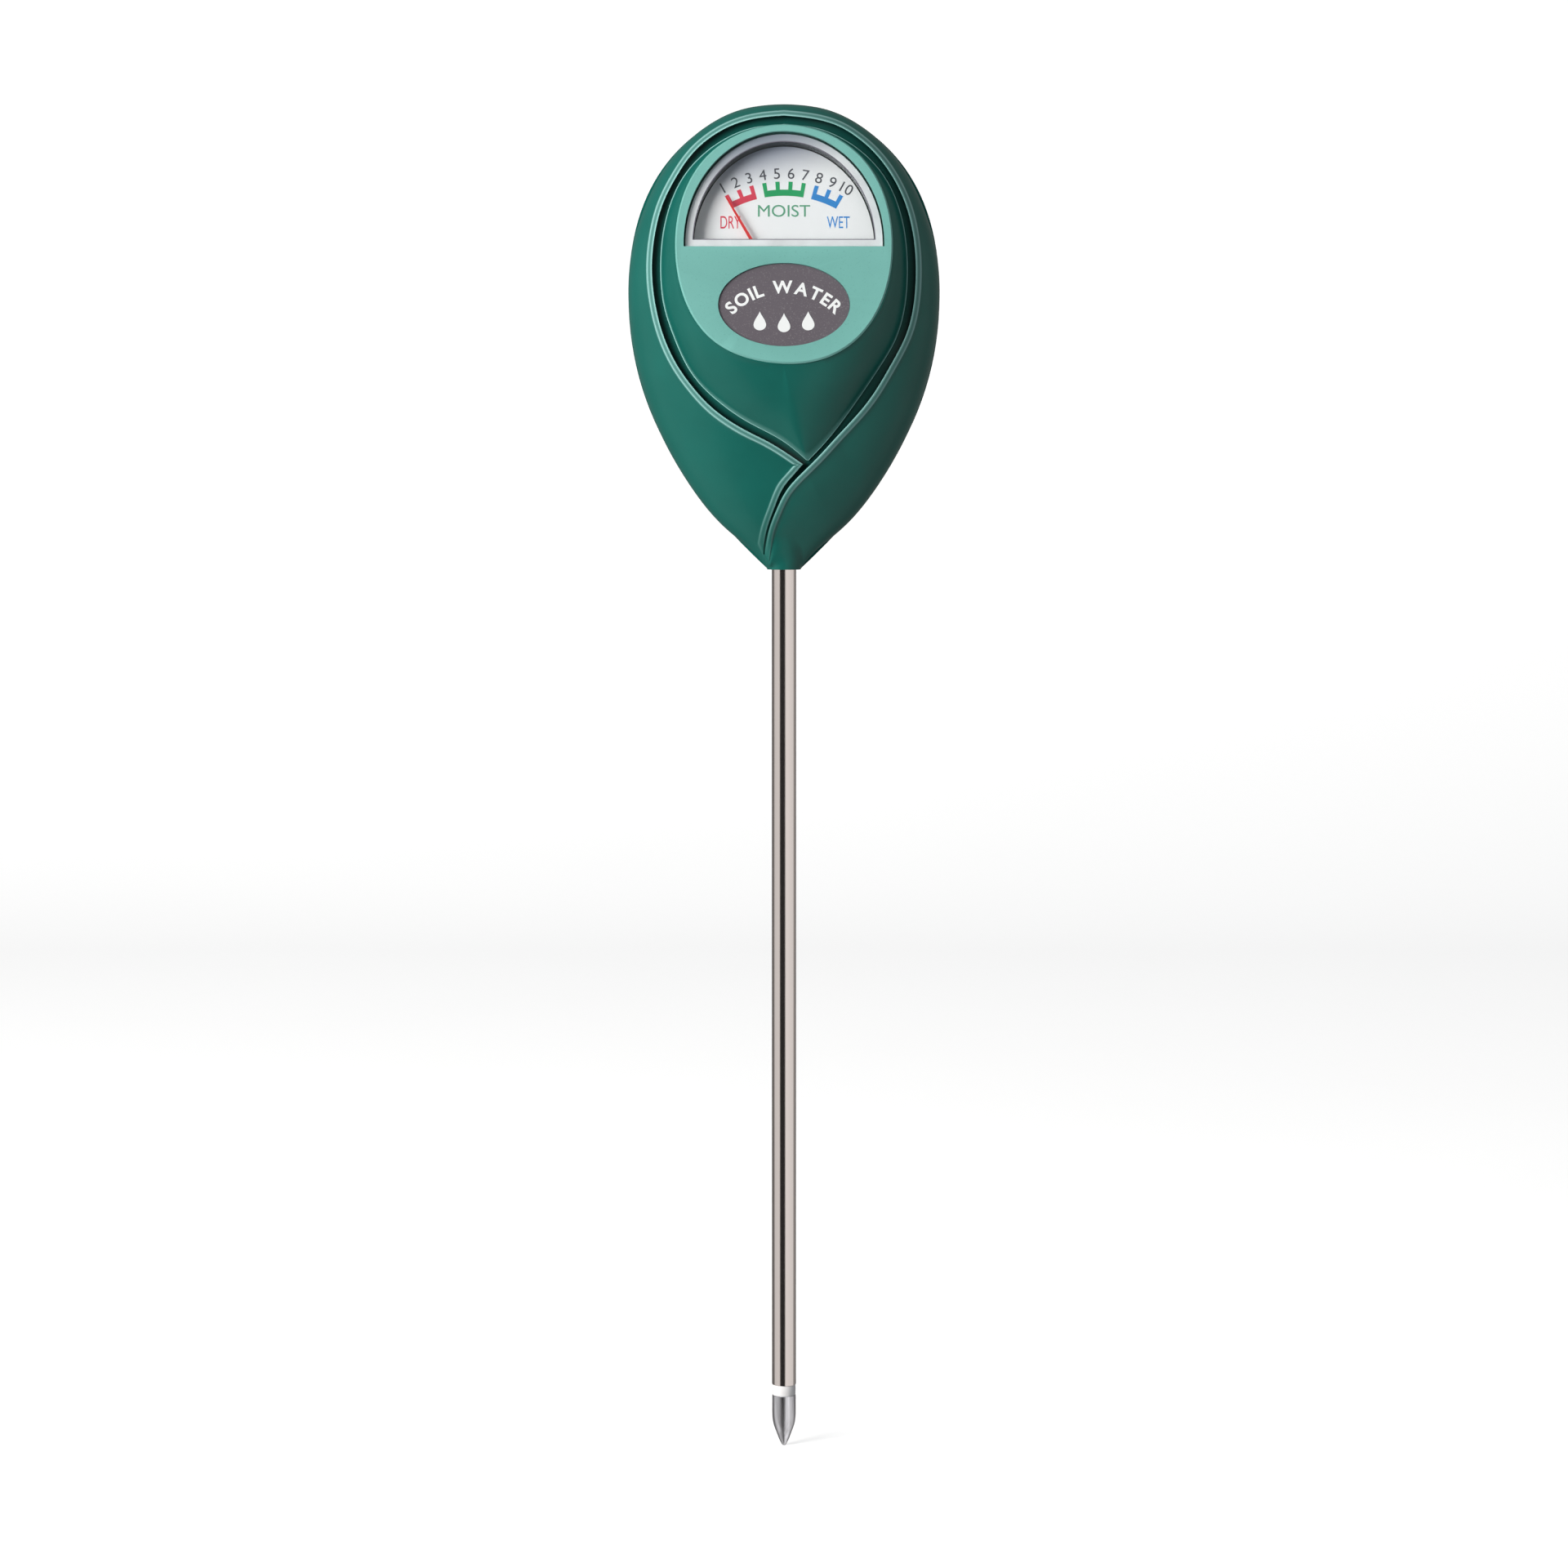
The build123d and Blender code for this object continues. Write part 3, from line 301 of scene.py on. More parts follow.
def softened(ring, spread):
    """A closed ring of points averaged over its neighbours, which rounds a crease off."""
    reach = int(3 * spread) + 1
    offsets = np.arange(-reach, reach + 1)
    weights = np.exp(-0.5 * (offsets / max(spread, 0.1)) ** 2)
    weights /= weights.sum()
    return sum(w * np.roll(ring, -o, axis=0) for o, w in zip(offsets, weights))


def front_case(material):
    right = smooth_curve(RIGHT_EDGE)
    left_main, left_tail = smooth_curve(LEFT_EDGE), smooth_curve(LEFT_TAIL)
    left = np.vstack([left_main, left_tail[1:]])
    bottom = np.array([[x, 0.0] for x in np.linspace(3.2, -3.2, 60)])
    outline_right = np.vstack([SIDE_CURVE, bottom[1:]])
    outline_left = SIDE_CURVE * np.array([-1, 1])
    mouth = nearest_arc(right, (4.9, 20.8))
    tip = arc(left_main)[-1]
    many, few = 330, 90
    s_right = np.concatenate([np.linspace(0, mouth, many), np.linspace(mouth, arc(right)[-1], few)[1:]])
    s_left = np.concatenate([np.linspace(0, tip, many), np.linspace(tip, arc(left)[-1], few)[1:]])
    rows_right = strip(right, outline_right, RIGHT_PAIRS, s_right, mouth - 8.0, None, mouth)
    rows_left = strip(left, outline_left, LEFT_PAIRS, s_left, None, tip - 3.0, tip)
    verts, faces, painted_light = [], [], []

    def put(points, amount=0.0):
        start = len(verts)
        verts.extend([tuple(p) for p in points])
        painted_light.extend(np.broadcast_to(amount, len(points)).tolist())
        return start

    def sew(a, b, count):
        for c in range(count - 1):
            faces.append((a + c, a + c + 1, b + c + 1, b + c))

    starts = {}
    # Painted shade at the channel's outer foot (-1), then the bead's painted highlights; the rows beyond carry none.
    row_painted_light = [-1.0] + BEAD_PAINTED_LIGHT + [0.0] * OUT_ROWS
    # The painted light fades out along the tail toward the neck.
    in_tail = np.concatenate([np.ones(many), np.linspace(1.0, 0.0, few)[1:]])
    for key, rows in (("r", rows_right), ("l", rows_left)):
        starts[key] = [put(r, amount * in_tail) for r, amount in zip(rows, row_painted_light)]
        for a, b in zip(starts[key], starts[key][1:]):
            sew(a, b, len(rows[0]))
    total = len(s_right)
    last = total - 1
    for k in range(len(rows_right) - 1):
        a, b = starts["r"][k] + last, starts["r"][k + 1] + last
        c, d = starts["l"][k + 1] + last, starts["l"][k] + last
        faces.append((a, b, c, d))
    for c in range(many - 1, last):
        faces.append((starts["r"][0] + c, starts["r"][0] + c + 1, starts["l"][0] + c + 1, starts["l"][0] + c))

    # the channel floor, the panel's wall and its flank up to the dial face
    sill_right, sill_left = smooth_curve(SILL_RIGHT), smooth_curve(SILL_LEFT)
    to_right = matched(right, sill_right, SILL_PAIRS_RIGHT, s_right[:many])
    to_left = matched(left_main, sill_left, SILL_PAIRS_LEFT, s_left[:many])
    sill = np.vstack([to_right, to_left[::-1]])
    base = np.vstack([rows_right[0][:many], rows_left[0][:many][::-1]])
    floor = base[:, 1]
    fractions_right = np.interp(
        [0.0] + list(arc(to_right)[1:]),
        [arc(to_right)[np.argmin(np.linalg.norm(to_right - np.array(a), axis=1))] for a, _ in PLATE_PAIRS],
        [f for _, f in PLATE_PAIRS])
    fractions_left = np.interp(
        [0.0] + list(arc(to_left)[1:]),
        [arc(to_left)[np.argmin(np.linalg.norm(to_left - np.array([-a[0], a[1]]), axis=1))] for a, _ in PLATE_PAIRS],
        [f for _, f in PLATE_PAIRS])

    def plate_ring(inset, n):
        side = plate_side(inset)
        whole = arc(side)[-1]
        r = at_arc(side, fractions_right * whole)
        l = at_arc(side, fractions_left * whole)[::-1] * np.array([-1, 1])
        return np.array([on_face(u, v, n) for u, v in np.vstack([r, l])])

    middle = np.array([0.0, 57.0])
    inward = middle - sill
    inward /= np.linalg.norm(inward, axis=1)[:, None]
    rise = 0.75

    def sill_ring(step, lift):
        p = sill + inward * step
        return np.stack([p[:, 0], floor - lift, p[:, 1]], axis=1)

    rings = [base, sill_ring(0, 0.0), sill_ring(0.03, 0.06), sill_ring(0.05, rise - 0.14),
             sill_ring(0.1, rise - 0.04), sill_ring(0.24, rise)]
    foot_ring = rings[-1]
    edge = plate_ring(-0.12, -0.62)
    reach = edge - foot_ring
    span = np.linalg.norm(reach, axis=1)[:, None]
    out = np.stack([-inward[:, 0], np.full(len(sill), -0.9), -inward[:, 1]], axis=1)
    steps = 12
    for k in range(1, steps + 1):
        t = k / steps
        flank = foot_ring + reach * t + out * span * 0.10 * t * (1 - t) * 2
        rings.append(softened(flank, CREASE_COLUMNS * t * (1 - t) * 4))
    rings.append(plate_ring(-0.08, -0.5))
    rings.append(plate_ring(0.05, -0.44))
    rings.append(plate_ring(0.42, -0.47))
    rings.append(plate_ring(0.44, -1.24))
    rings.append(plate_ring(1.35, -1.26))
    inner_sill = sill + inward * 1.8
    rings.append(np.stack([inner_sill[:, 0], floor + 2.4, inner_sill[:, 1]], axis=1))
    count = len(sill)
    # Painted shade on the channel floor, lighter toward the panel, and a painted highlight along the top edge of the
    # panel's wall.
    ring_painted_light = [-1.0, -0.25, -0.1, 0.3, 0.9, 0.2] + [0.0] * (len(rings) - 6)
    ring_starts = [put(r, amount) for r, amount in zip(rings, ring_painted_light)]
    for a, b in zip(ring_starts, ring_starts[1:]):
        for c in range(count):
            d = (c + 1) % count
            faces.append((a + c, b + c, b + d, a + d))

    # parting edge, wall thickness and the way back to the opening
    outer = np.vstack([rows_right[-1], rows_left[-1][::-1]])
    at_neck = (outer[:, 2] < 1.0) & (np.abs(outer[:, 0]) < 3.3)
    pull = np.array([0.0, 0.0, 55.0]) - outer
    pull[:, 1] = 0
    pull /= np.linalg.norm(pull, axis=1)[:, None]
    wall = outer + pull * 2.0
    wall[:, 1] = np.where(at_neck, outer[:, 1] * 0.77, 0)
    wall[:, 0] = np.where(at_neck, outer[:, 0] * 0.77, wall[:, 0])
    wall[:, 2] = np.where(at_neck, outer[:, 2], np.maximum(wall[:, 2], 0.0))
    deep = wall.copy()
    deep[:, 2] = np.where(at_neck, 16.0, deep[:, 2])
    low = (~at_neck) & (deep[:, 2] < 16.0)
    deep[:, 2] = np.where(low, 16.0, deep[:, 2])
    deep[:, 1] = np.where(at_neck, deep[:, 1], -0.6)
    loops = [put(outer), put(wall), put(deep)]
    n_out = len(outer)
    for a, b in zip(loops, loops[1:]):
        for c in range(n_out):
            d = (c + 1) % n_out
            faces.append((a + c, b + c, b + d, a + d))
    faces.extend(zipper(deep, rings[-1], (loops[-1], ring_starts[-1])))
    return make_mesh("case_front", verts, faces, material, sharp=38, painted_light=painted_light)


# ---- materials ----
def node_material(name, colour, rough, metallic=0.0, grain=0.35, grain_depth=0.02, mottle=0.06, mottle_mm=9.0,
                  coat=0.0, speckle=None, stretch=(1, 1, 1), rough_change=0.08, edge_light=0.25, painted_highlight=None,
                  shade=None, specular=0.5):
    """Surface with fine grain, slow colour drift, uneven gloss and colour lightened on sharp edges; optionally
    painted highlights and painted shade from the mesh's per-point attribute, and a painted shade gradient that
    darkens toward the top left; grain sizes in mm.
    """
    mat = bpy.data.materials.new(name)
    mat.use_nodes = True
    nt = mat.node_tree
    n, link = nt.nodes, nt.links
    bsdf = n["Principled BSDF"]
    bsdf.inputs["Metallic"].default_value = metallic
    bsdf.inputs["Coat Weight"].default_value = coat
    bsdf.inputs["Coat Roughness"].default_value = 0.15
    bsdf.inputs["Specular IOR Level"].default_value = specular
    coords = n.new("ShaderNodeTexCoord")
    mapping = n.new("ShaderNodeMapping")
    mapping.inputs["Scale"].default_value = stretch
    link.new(coords.outputs["Object"], mapping.inputs["Vector"])

    def noise(size_mm, detail, vector=mapping.outputs["Vector"]):
        tex = n.new("ShaderNodeTexNoise")
        tex.inputs["Scale"].default_value = 1000.0 / size_mm
        tex.inputs["Detail"].default_value = detail
        link.new(vector, tex.inputs["Vector"])
        return tex.outputs["Fac"]

    drift = noise(mottle_mm, 3)
    ramp = n.new("ShaderNodeValToRGB")
    dark = [c * (1 - mottle) for c in colour]
    light = [min(1, c * (1 + mottle)) for c in colour]
    ramp.color_ramp.elements[0].position = 0.3
    ramp.color_ramp.elements[1].position = 0.7
    ramp.color_ramp.elements[0].color = (*dark, 1)
    ramp.color_ramp.elements[1].color = (*light, 1)
    link.new(drift, ramp.inputs["Fac"])
    colour_out = ramp.outputs["Color"]
    fine = noise(grain, 2)
    if speckle:
        second, size_mm, cover = speckle
        dots = noise(size_mm, 2)
        cut = n.new("ShaderNodeValToRGB")
        cut.color_ramp.elements[0].position = 1 - cover
        cut.color_ramp.elements[1].position = min(1, 1 - cover + 0.12)
        link.new(dots, cut.inputs["Fac"])
        mix = n.new("ShaderNodeMix")
        mix.data_type = "RGBA"
        mix.inputs["B"].default_value = (*second, 1)
        link.new(cut.outputs["Color"], mix.inputs["Factor"])
        link.new(colour_out, mix.inputs["A"])
        colour_out = mix.outputs["Result"]
    # Colour lightened on sharp convex edges, by pointiness.
    geometry = n.new("ShaderNodeNewGeometry")
    edge = n.new("ShaderNodeMapRange")
    edge.inputs["From Min"].default_value = 0.52
    edge.inputs["From Max"].default_value = 0.62
    edge.inputs["To Max"].default_value = edge_light
    link.new(geometry.outputs["Pointiness"], edge.inputs["Value"])
    lift = n.new("ShaderNodeMix")
    lift.data_type = "RGBA"
    lift.inputs["B"].default_value = (*[min(1, c * 1.6 + 0.03) for c in colour], 1)
    link.new(edge.outputs["Result"], lift.inputs["Factor"])
    link.new(colour_out, lift.inputs["A"])
    colour_out = lift.outputs["Result"]
    # Painted highlights toward the given colour and painted shade toward near-black green, driven by the mesh's
    # per-point painted-light attribute.
    if painted_highlight:
        painted_light_map = n.new("ShaderNodeAttribute")
        painted_light_map.attribute_name = "painted_light"
        for start, end, other in ((0, 1, painted_highlight), (0, -1, (0.001, 0.010, 0.010))):
            amount = n.new("ShaderNodeMapRange")
            amount.inputs["From Min"].default_value = start
            amount.inputs["From Max"].default_value = end
            amount.inputs["To Max"].default_value = 0.9
            link.new(painted_light_map.outputs["Fac"], amount.inputs["Value"])
            over = n.new("ShaderNodeMix")
            over.data_type = "RGBA"
            over.inputs["B"].default_value = (*other, 1)
            link.new(amount.outputs["Result"], over.inputs["Factor"])
            link.new(colour_out, over.inputs["A"])
            colour_out = over.outputs["Result"]
    # Painted shade: blends toward the given colour higher up and further left, standing in for the shadow at the top
    # of the dial window.
    if shade:
        low_mm, high_mm, other = shade
        place = n.new("ShaderNodeSeparateXYZ")
        link.new(coords.outputs["Object"], place.inputs["Vector"])
        slant = n.new("ShaderNodeMath")
        slant.operation = "MULTIPLY_ADD"
        slant.inputs[1].default_value = -0.28
        link.new(place.outputs["X"], slant.inputs[0])
        link.new(place.outputs["Z"], slant.inputs[2])
        fall = n.new("ShaderNodeMapRange")
        fall.interpolation_type = "SMOOTHSTEP"
        fall.inputs["From Min"].default_value = low_mm * MM
        fall.inputs["From Max"].default_value = high_mm * MM
        link.new(slant.outputs["Value"], fall.inputs["Value"])
        over = n.new("ShaderNodeMix")
        over.data_type = "RGBA"
        over.inputs["B"].default_value = (*other, 1)
        link.new(fall.outputs["Result"], over.inputs["Factor"])
        link.new(colour_out, over.inputs["A"])
        colour_out = over.outputs["Result"]
    link.new(colour_out, bsdf.inputs["Base Color"])
    gloss = n.new("ShaderNodeMapRange")
    gloss.inputs["To Min"].default_value = max(0.02, rough - rough_change)
    gloss.inputs["To Max"].default_value = rough + rough_change
    link.new(noise(mottle_mm * 0.4, 4), gloss.inputs["Value"])
    link.new(gloss.outputs["Result"], bsdf.inputs["Roughness"])
    bump = n.new("ShaderNodeBump")
    bump.inputs["Strength"].default_value = 1.0
    bump.inputs["Distance"].default_value = grain_depth * MM
    link.new(fine, bump.inputs["Height"])
    link.new(bump.outputs["Normal"], bsdf.inputs["Normal"])
    return mat


def clear_material(name):
    """Clear moulded lens: see-through, with a gloss that grows at grazing angles and faint haze."""
    mat = bpy.data.materials.new(name)
    mat.use_nodes = True
    nt = mat.node_tree
    n, link = nt.nodes, nt.links
    out = n["Material Output"]
    n.remove(n["Principled BSDF"])
    see = n.new("ShaderNodeBsdfTransparent")
    see.inputs["Color"].default_value = (0.985, 0.993, 0.993, 1)
    shine = n.new("ShaderNodeBsdfGlossy")
    shine.inputs["Color"].default_value = (0.95, 0.98, 1.0, 1)
    coords = n.new("ShaderNodeTexCoord")
    tex = n.new("ShaderNodeTexNoise")
    tex.inputs["Scale"].default_value = 160
    link.new(coords.outputs["Object"], tex.inputs["Vector"])
    span = n.new("ShaderNodeMapRange")
    span.inputs["To Min"].default_value = 0.03
    span.inputs["To Max"].default_value = 0.09
    link.new(tex.outputs["Fac"], span.inputs["Value"])
    link.new(span.outputs["Result"], shine.inputs["Roughness"])
    fresnel = n.new("ShaderNodeFresnel")
    fresnel.inputs["IOR"].default_value = 1.5
    haze = n.new("ShaderNodeBsdfDiffuse")
    haze.inputs["Color"].default_value = (0.75, 0.82, 0.83, 1)
    first = n.new("ShaderNodeMixShader")
    second = n.new("ShaderNodeMixShader")
    facing = n.new("ShaderNodeNewGeometry")
    outside = n.new("ShaderNodeMath")
    outside.operation = "MULTIPLY_ADD"
    outside.inputs[2].default_value = 0.0
    front_only = n.new("ShaderNodeMath")
    front_only.operation = "SUBTRACT"
    front_only.inputs[0].default_value = 1.0
    link.new(facing.outputs["Backfacing"], front_only.inputs[1])
    link.new(fresnel.outputs["Fac"], outside.inputs[0])
    link.new(front_only.outputs["Value"], outside.inputs[1])
    link.new(outside.outputs["Value"], first.inputs["Fac"])
    link.new(see.outputs["BSDF"], first.inputs[1])
    link.new(shine.outputs["BSDF"], first.inputs[2])
    faint = n.new("ShaderNodeMapRange")
    faint.inputs["To Min"].default_value = 0.004
    faint.inputs["To Max"].default_value = 0.02
    link.new(tex.outputs["Fac"], faint.inputs["Value"])
    link.new(faint.outputs["Result"], second.inputs["Fac"])
    link.new(first.outputs["Shader"], second.inputs[1])
    link.new(haze.outputs["BSDF"], second.inputs[2])
    link.new(second.outputs["Shader"], out.inputs["Surface"])
    return mat


GREEN = (0.009, 0.127, 0.104)
# The case's bead edges take painted highlights in this colour, and its channel takes painted shade.
case_green = node_material("case_green", GREEN, 0.36, grain=0.22, grain_depth=0.008, mottle=0.05, coat=0.05,
                           edge_light=0.0, painted_highlight=(0.48, 0.88, 0.84), specular=0.22)
plate_green = node_material("plate_green", (0.17, 0.44, 0.395), 0.45, grain=0.16, grain_depth=0.016, mottle=0.03,
                            speckle=((0.13, 0.36, 0.32), 0.3, 0.38))
badge_grey = node_material("badge_grey", (0.105, 0.092, 0.108), 0.5, grain=0.18, grain_depth=0.02, mottle=0.05,
                           speckle=((0.20, 0.185, 0.20), 0.28, 0.42))
badge_ink = node_material("badge_ink", (0.86, 0.89, 0.89), 0.45, grain=0.2, mottle=0.03)
# The dial and the rim band darken to blue-grey toward the top left: painted shade.
dial_white = node_material("dial_white", (0.95, 0.95, 0.97), 0.5, grain=0.3, grain_depth=0.004, mottle=0.015,
                           shade=(76.0, 88.0, (0.20, 0.23, 0.33)))
rim_frost = node_material("rim_frost", (0.70, 0.72, 0.75), 0.35, grain=0.4, grain_depth=0.02, mottle=0.12,
                          mottle_mm=5.0, shade=(77.0, 90.0, (0.22, 0.26, 0.33)))
# A thin dark band of painted shadow inside the window's rim.
rim_painted_shadow = node_material("rim_painted_shadow", (0.16, 0.15, 0.19), 0.4, grain=0.3, mottle=0.1)
ink_red = node_material("ink_red", (0.66, 0.045, 0.085), 0.5, grain=0.2, grain_depth=0.004, mottle=0.05)
ink_green = node_material("ink_green", (0.01, 0.33, 0.11), 0.5, grain=0.2, grain_depth=0.004, mottle=0.05)
ink_blue = node_material("ink_blue", (0.025, 0.23, 0.60), 0.5, grain=0.2, grain_depth=0.004, mottle=0.05)
ink_mint = node_material("ink_mint", (0.10, 0.33, 0.20), 0.5, grain=0.2, grain_depth=0.004, mottle=0.05)
ink_grey = node_material("ink_grey", (0.07, 0.07, 0.085), 0.5, grain=0.2, grain_depth=0.004, mottle=0.05)
pointer_red = node_material("pointer_red", (0.62, 0.02, 0.02), 0.4, grain=0.2, grain_depth=0.006, mottle=0.04)
steel = node_material("steel", (0.70, 0.66, 0.65), 0.17, metallic=1.0, grain=0.09, grain_depth=0.002, mottle=0.03,
                      stretch=(1, 1, 0.03), rough_change=0.05)
tip_metal = node_material("tip_metal", (0.64, 0.66, 0.71), 0.34, metallic=1.0, grain=0.14, grain_depth=0.012,
                          mottle=0.35, mottle_mm=0.9, stretch=(1, 1, 0.08), edge_light=0.0)
ring_white = node_material("ring_white", (0.96, 0.95, 0.95), 0.4, grain=0.2, grain_depth=0.006, mottle=0.03)
lens_clear = clear_material("lens_clear")
hidden = {
    "base_black": node_material("base_black", (0.02, 0.02, 0.023), 0.45, grain=0.3, grain_depth=0.02),
    "brass": node_material("brass", (0.72, 0.52, 0.22), 0.28, metallic=1.0, grain=0.15, grain_depth=0.004),
    "iron": node_material("iron", (0.22, 0.22, 0.23), 0.38, metallic=1.0, grain=0.2, grain_depth=0.012, mottle=0.15),
    "copper": node_material("copper", (0.60, 0.22, 0.09), 0.33, metallic=0.8, grain=0.12, grain_depth=0.03,
                            stretch=(1, 1, 6)),
    "aluminium": node_material("aluminium", (0.70, 0.71, 0.73), 0.3, metallic=1.0, grain=0.12, grain_depth=0.004),
    "ruby": node_material("ruby", (0.45, 0.01, 0.06), 0.1, grain=0.3, grain_depth=0.001, coat=0.5),
    "bronze": node_material("bronze", (0.55, 0.36, 0.15), 0.3, metallic=1.0, grain=0.1, grain_depth=0.003),
    "wire_red": node_material("wire_red", (0.45, 0.015, 0.015), 0.4, grain=0.3, grain_depth=0.01),
    "wire_black": node_material("wire_black", (0.012, 0.012, 0.013), 0.4, grain=0.3, grain_depth=0.01),
    "sleeve": node_material("sleeve", (0.65, 0.65, 0.62), 0.45, grain=0.3, grain_depth=0.01),
}
by_slot = dict(hidden, case_green=case_green, plate_green=plate_green, badge_grey=badge_grey, clear=lens_clear,
               dial_white=dial_white, pointer_red=pointer_red, steel=steel, tip_grey=tip_metal, ring_white=ring_white)
for entry in frame["record"]["subparts"]:
    node = frame["nodes"][entry["node"]]
    node.data.materials.clear()
    node.data.materials.append(by_slot[entry["material_slot"]])


# ---- head ----
front = front_case(case_green)
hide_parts("front_shell")


# ---- probe: turned pieces ----
def turned(name, profile, material, segments=96, sharp=40):
    """Closed solid of revolution about the probe's axis from (radius, z) points, listed as a loop."""
    verts, faces = [], []
    for k in range(segments):
        a = 2 * math.pi * k / segments
        verts.extend([(r * math.cos(a), r * math.sin(a), z) for r, z in profile])
    count = len(profile)
    for k in range(segments):
        d = (k + 1) % segments
        for c in range(count):
            e = (c + 1) % count
            faces.append((k * count + c, d * count + c, d * count + e, k * count + e))
    return make_mesh(name, verts, faces, material, sharp=sharp)


tube_low, tube_high = [c / MM for c in (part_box("probe_tube")[0][2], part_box("probe_tube")[1][2])]
tube = turned("tube_skin", [(2.0, tube_low + 0.15), (2.15, tube_low), (2.38, tube_low), (2.47, tube_low + 0.04),
                            (2.5, tube_low + 0.14), (2.5, -0.02), (2.5, tube_high - 0.1), (2.4, tube_high),
                            (2.0, tube_high)], steel)
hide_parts("probe_tube")
ring_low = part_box("insulator_ring")[0][2] / MM
ring = turned("ring_skin", [(0.45, ring_low), (1.6, ring_low), (1.6, tube_low - 2.2), (2.3, tube_low - 2.2),
                            (2.38, tube_low - 2.12), (2.4, tube_low - 2.0), (2.42, tube_low - 1.1),
                            (2.4, tube_low - 0.2), (2.34, tube_low - 0.04), (1.95, tube_low), (1.95, tube_low + 4),
                            (0.45, tube_low + 4)], ring_white)
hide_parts("insulator_ring")
tip_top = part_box("probe_tip")[1][2] / MM
tip_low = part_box("probe_tip")[0][2] / MM
ogive = smooth_curve([(2.45, tip_top - 4.1), (2.33, tip_top - 5.4), (1.98, tip_top - 6.8), (1.5, tip_top - 8.1),
                      (0.85, tip_top - 9.7), (0.42, tip_low + 0.18)], 6)
tip = turned("tip_skin", [(1.6, tip_top), (2.36, tip_top), (2.43, tip_top - 0.06), (2.45, tip_top - 0.2),
                          (2.45, tip_top - 3.0)] + [tuple(q) for q in ogive]
             + [(0.3, tip_low + 0.06), (0.14, tip_low + 0.01), (0.0, tip_low), (0.0, tip_top - 2.0), (1.6, tip_top - 2.0)],
             tip_metal, sharp=35)
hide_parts("probe_tip")


# ---- dial printing and badge lettering: thin closed prisms ----
def prism(name, outlines, low, high, material, body="housing"):
    """Flat raised shapes on the face plane; each outline is a loop of (u, v) points."""
    verts, faces = [], []
    for loop in outlines:
        start, count = len(verts), len(loop)
        verts.extend([on_face(u, v, low) for u, v in loop])
        verts.extend([on_face(u, v, high) for u, v in loop])
        faces.append(tuple(range(start + count - 1, start - 1, -1)))
        faces.append(tuple(range(start + count, start + 2 * count)))
        for c in range(count):
            d = (c + 1) % count
            faces.append((start + c, start + d, start + count + d, start + count + c))
    return make_mesh(name, verts, faces, material, body=body, smooth=False)


def polar(radius, degrees):
    a = math.radians(degrees)
    return (radius * math.sin(a), radius * math.cos(a))


def arc_band(r_in, r_out, a0, a1, steps=28):
    angles = [a0 + (a1 - a0) * k / steps for k in range(steps + 1)]
    return [polar(r_out, a) for a in angles] + [polar(r_in, a) for a in reversed(angles)]


def glyph(text, bold):
    """Closed mesh of some plain sans text about its middle, as points at unit size and faces."""
    curve = bpy.data.curves.new("glyph", "FONT")
    curve.body = text
    curve.align_x = "CENTER"
    curve.align_y = "BOTTOM_BASELINE"
    curve.extrude = 0.5
    curve.offset = bold
    holder = bpy.data.objects.new("glyph", curve)
    bpy.context.scene.collection.objects.link(holder)
    bpy.context.view_layer.update()
    evaluated = holder.evaluated_get(bpy.context.evaluated_depsgraph_get())
    mesh = bpy.data.meshes.new_from_object(evaluated)
    points = [tuple(vertex.co) for vertex in mesh.vertices]
    faces = [tuple(p.vertices) for p in mesh.polygons]
    bpy.data.objects.remove(holder)
    bpy.data.curves.remove(curve)
    bpy.data.meshes.remove(mesh)
    return points, faces


def turned_by(x, y, degrees):
    """Point turned clockwise about the origin."""
    a = math.radians(degrees)
    return x * math.cos(a) + y * math.sin(a), y * math.cos(a) - x * math.sin(a)


def put_text(pieces, height, low, high, width):
    """Points and faces of texts on the face plane from (points, faces, spot, turn, rise)."""
    verts, faces = [], []
    scale = height / 0.73
    for points, polygons, spot, turn, rise in pieces:
        start = len(verts)
        for px, py, pz in points:
            x, y = turned_by(px * scale * width, py * scale - height / 2 + rise, turn)
            verts.append(on_face(spot[0] + x, spot[1] + y, high if pz > 0 else low))
        faces.extend([tuple(start + i for i in polygon) for polygon in polygons])
    return verts, faces


def lettering(name, text, height, spot, low, high, material, width=1.0, turn=0.0, bold=0.0):
    """Straight lettering centred on a spot; height is the capital height in mm."""
    points, polygons = glyph(text, bold)
    verts, faces = put_text([(points, polygons, spot, turn, 0.0)], height, low, high, width)
    return make_mesh(name, verts, faces, material, smooth=False)


def arched_lettering(name, text, height, centre, radius, gap, low, high, material, bold=0.0):
    """Lettering along an arch about a centre, with an even gap between its letters."""
    scale = height / 0.73
    glyphs = [glyph(letter, bold) for letter in text]
    spans = []
    for letter, (points, _) in zip(text, glyphs):
        xs = [q[0] * scale for q in points]
        spans.append(0.4 * height if letter == " " else max(xs) - min(xs))
    along = -(sum(spans) + gap * (len(text) - 1)) / 2
    pieces = []
    for letter, (points, polygons), span in zip(text, glyphs, spans):
        if letter != " ":
            middle = (max(q[0] for q in points) + min(q[0] for q in points)) / 2
            centred = [(x - middle, y, z) for x, y, z in points]
            angle = math.degrees((along + span / 2) / radius)
            pieces.append((centred, polygons, centre, angle, radius))
        along += span + gap
    verts, faces = put_text(pieces, height, low, high, 1.0)
    return make_mesh(name, verts, faces, material, smooth=False)


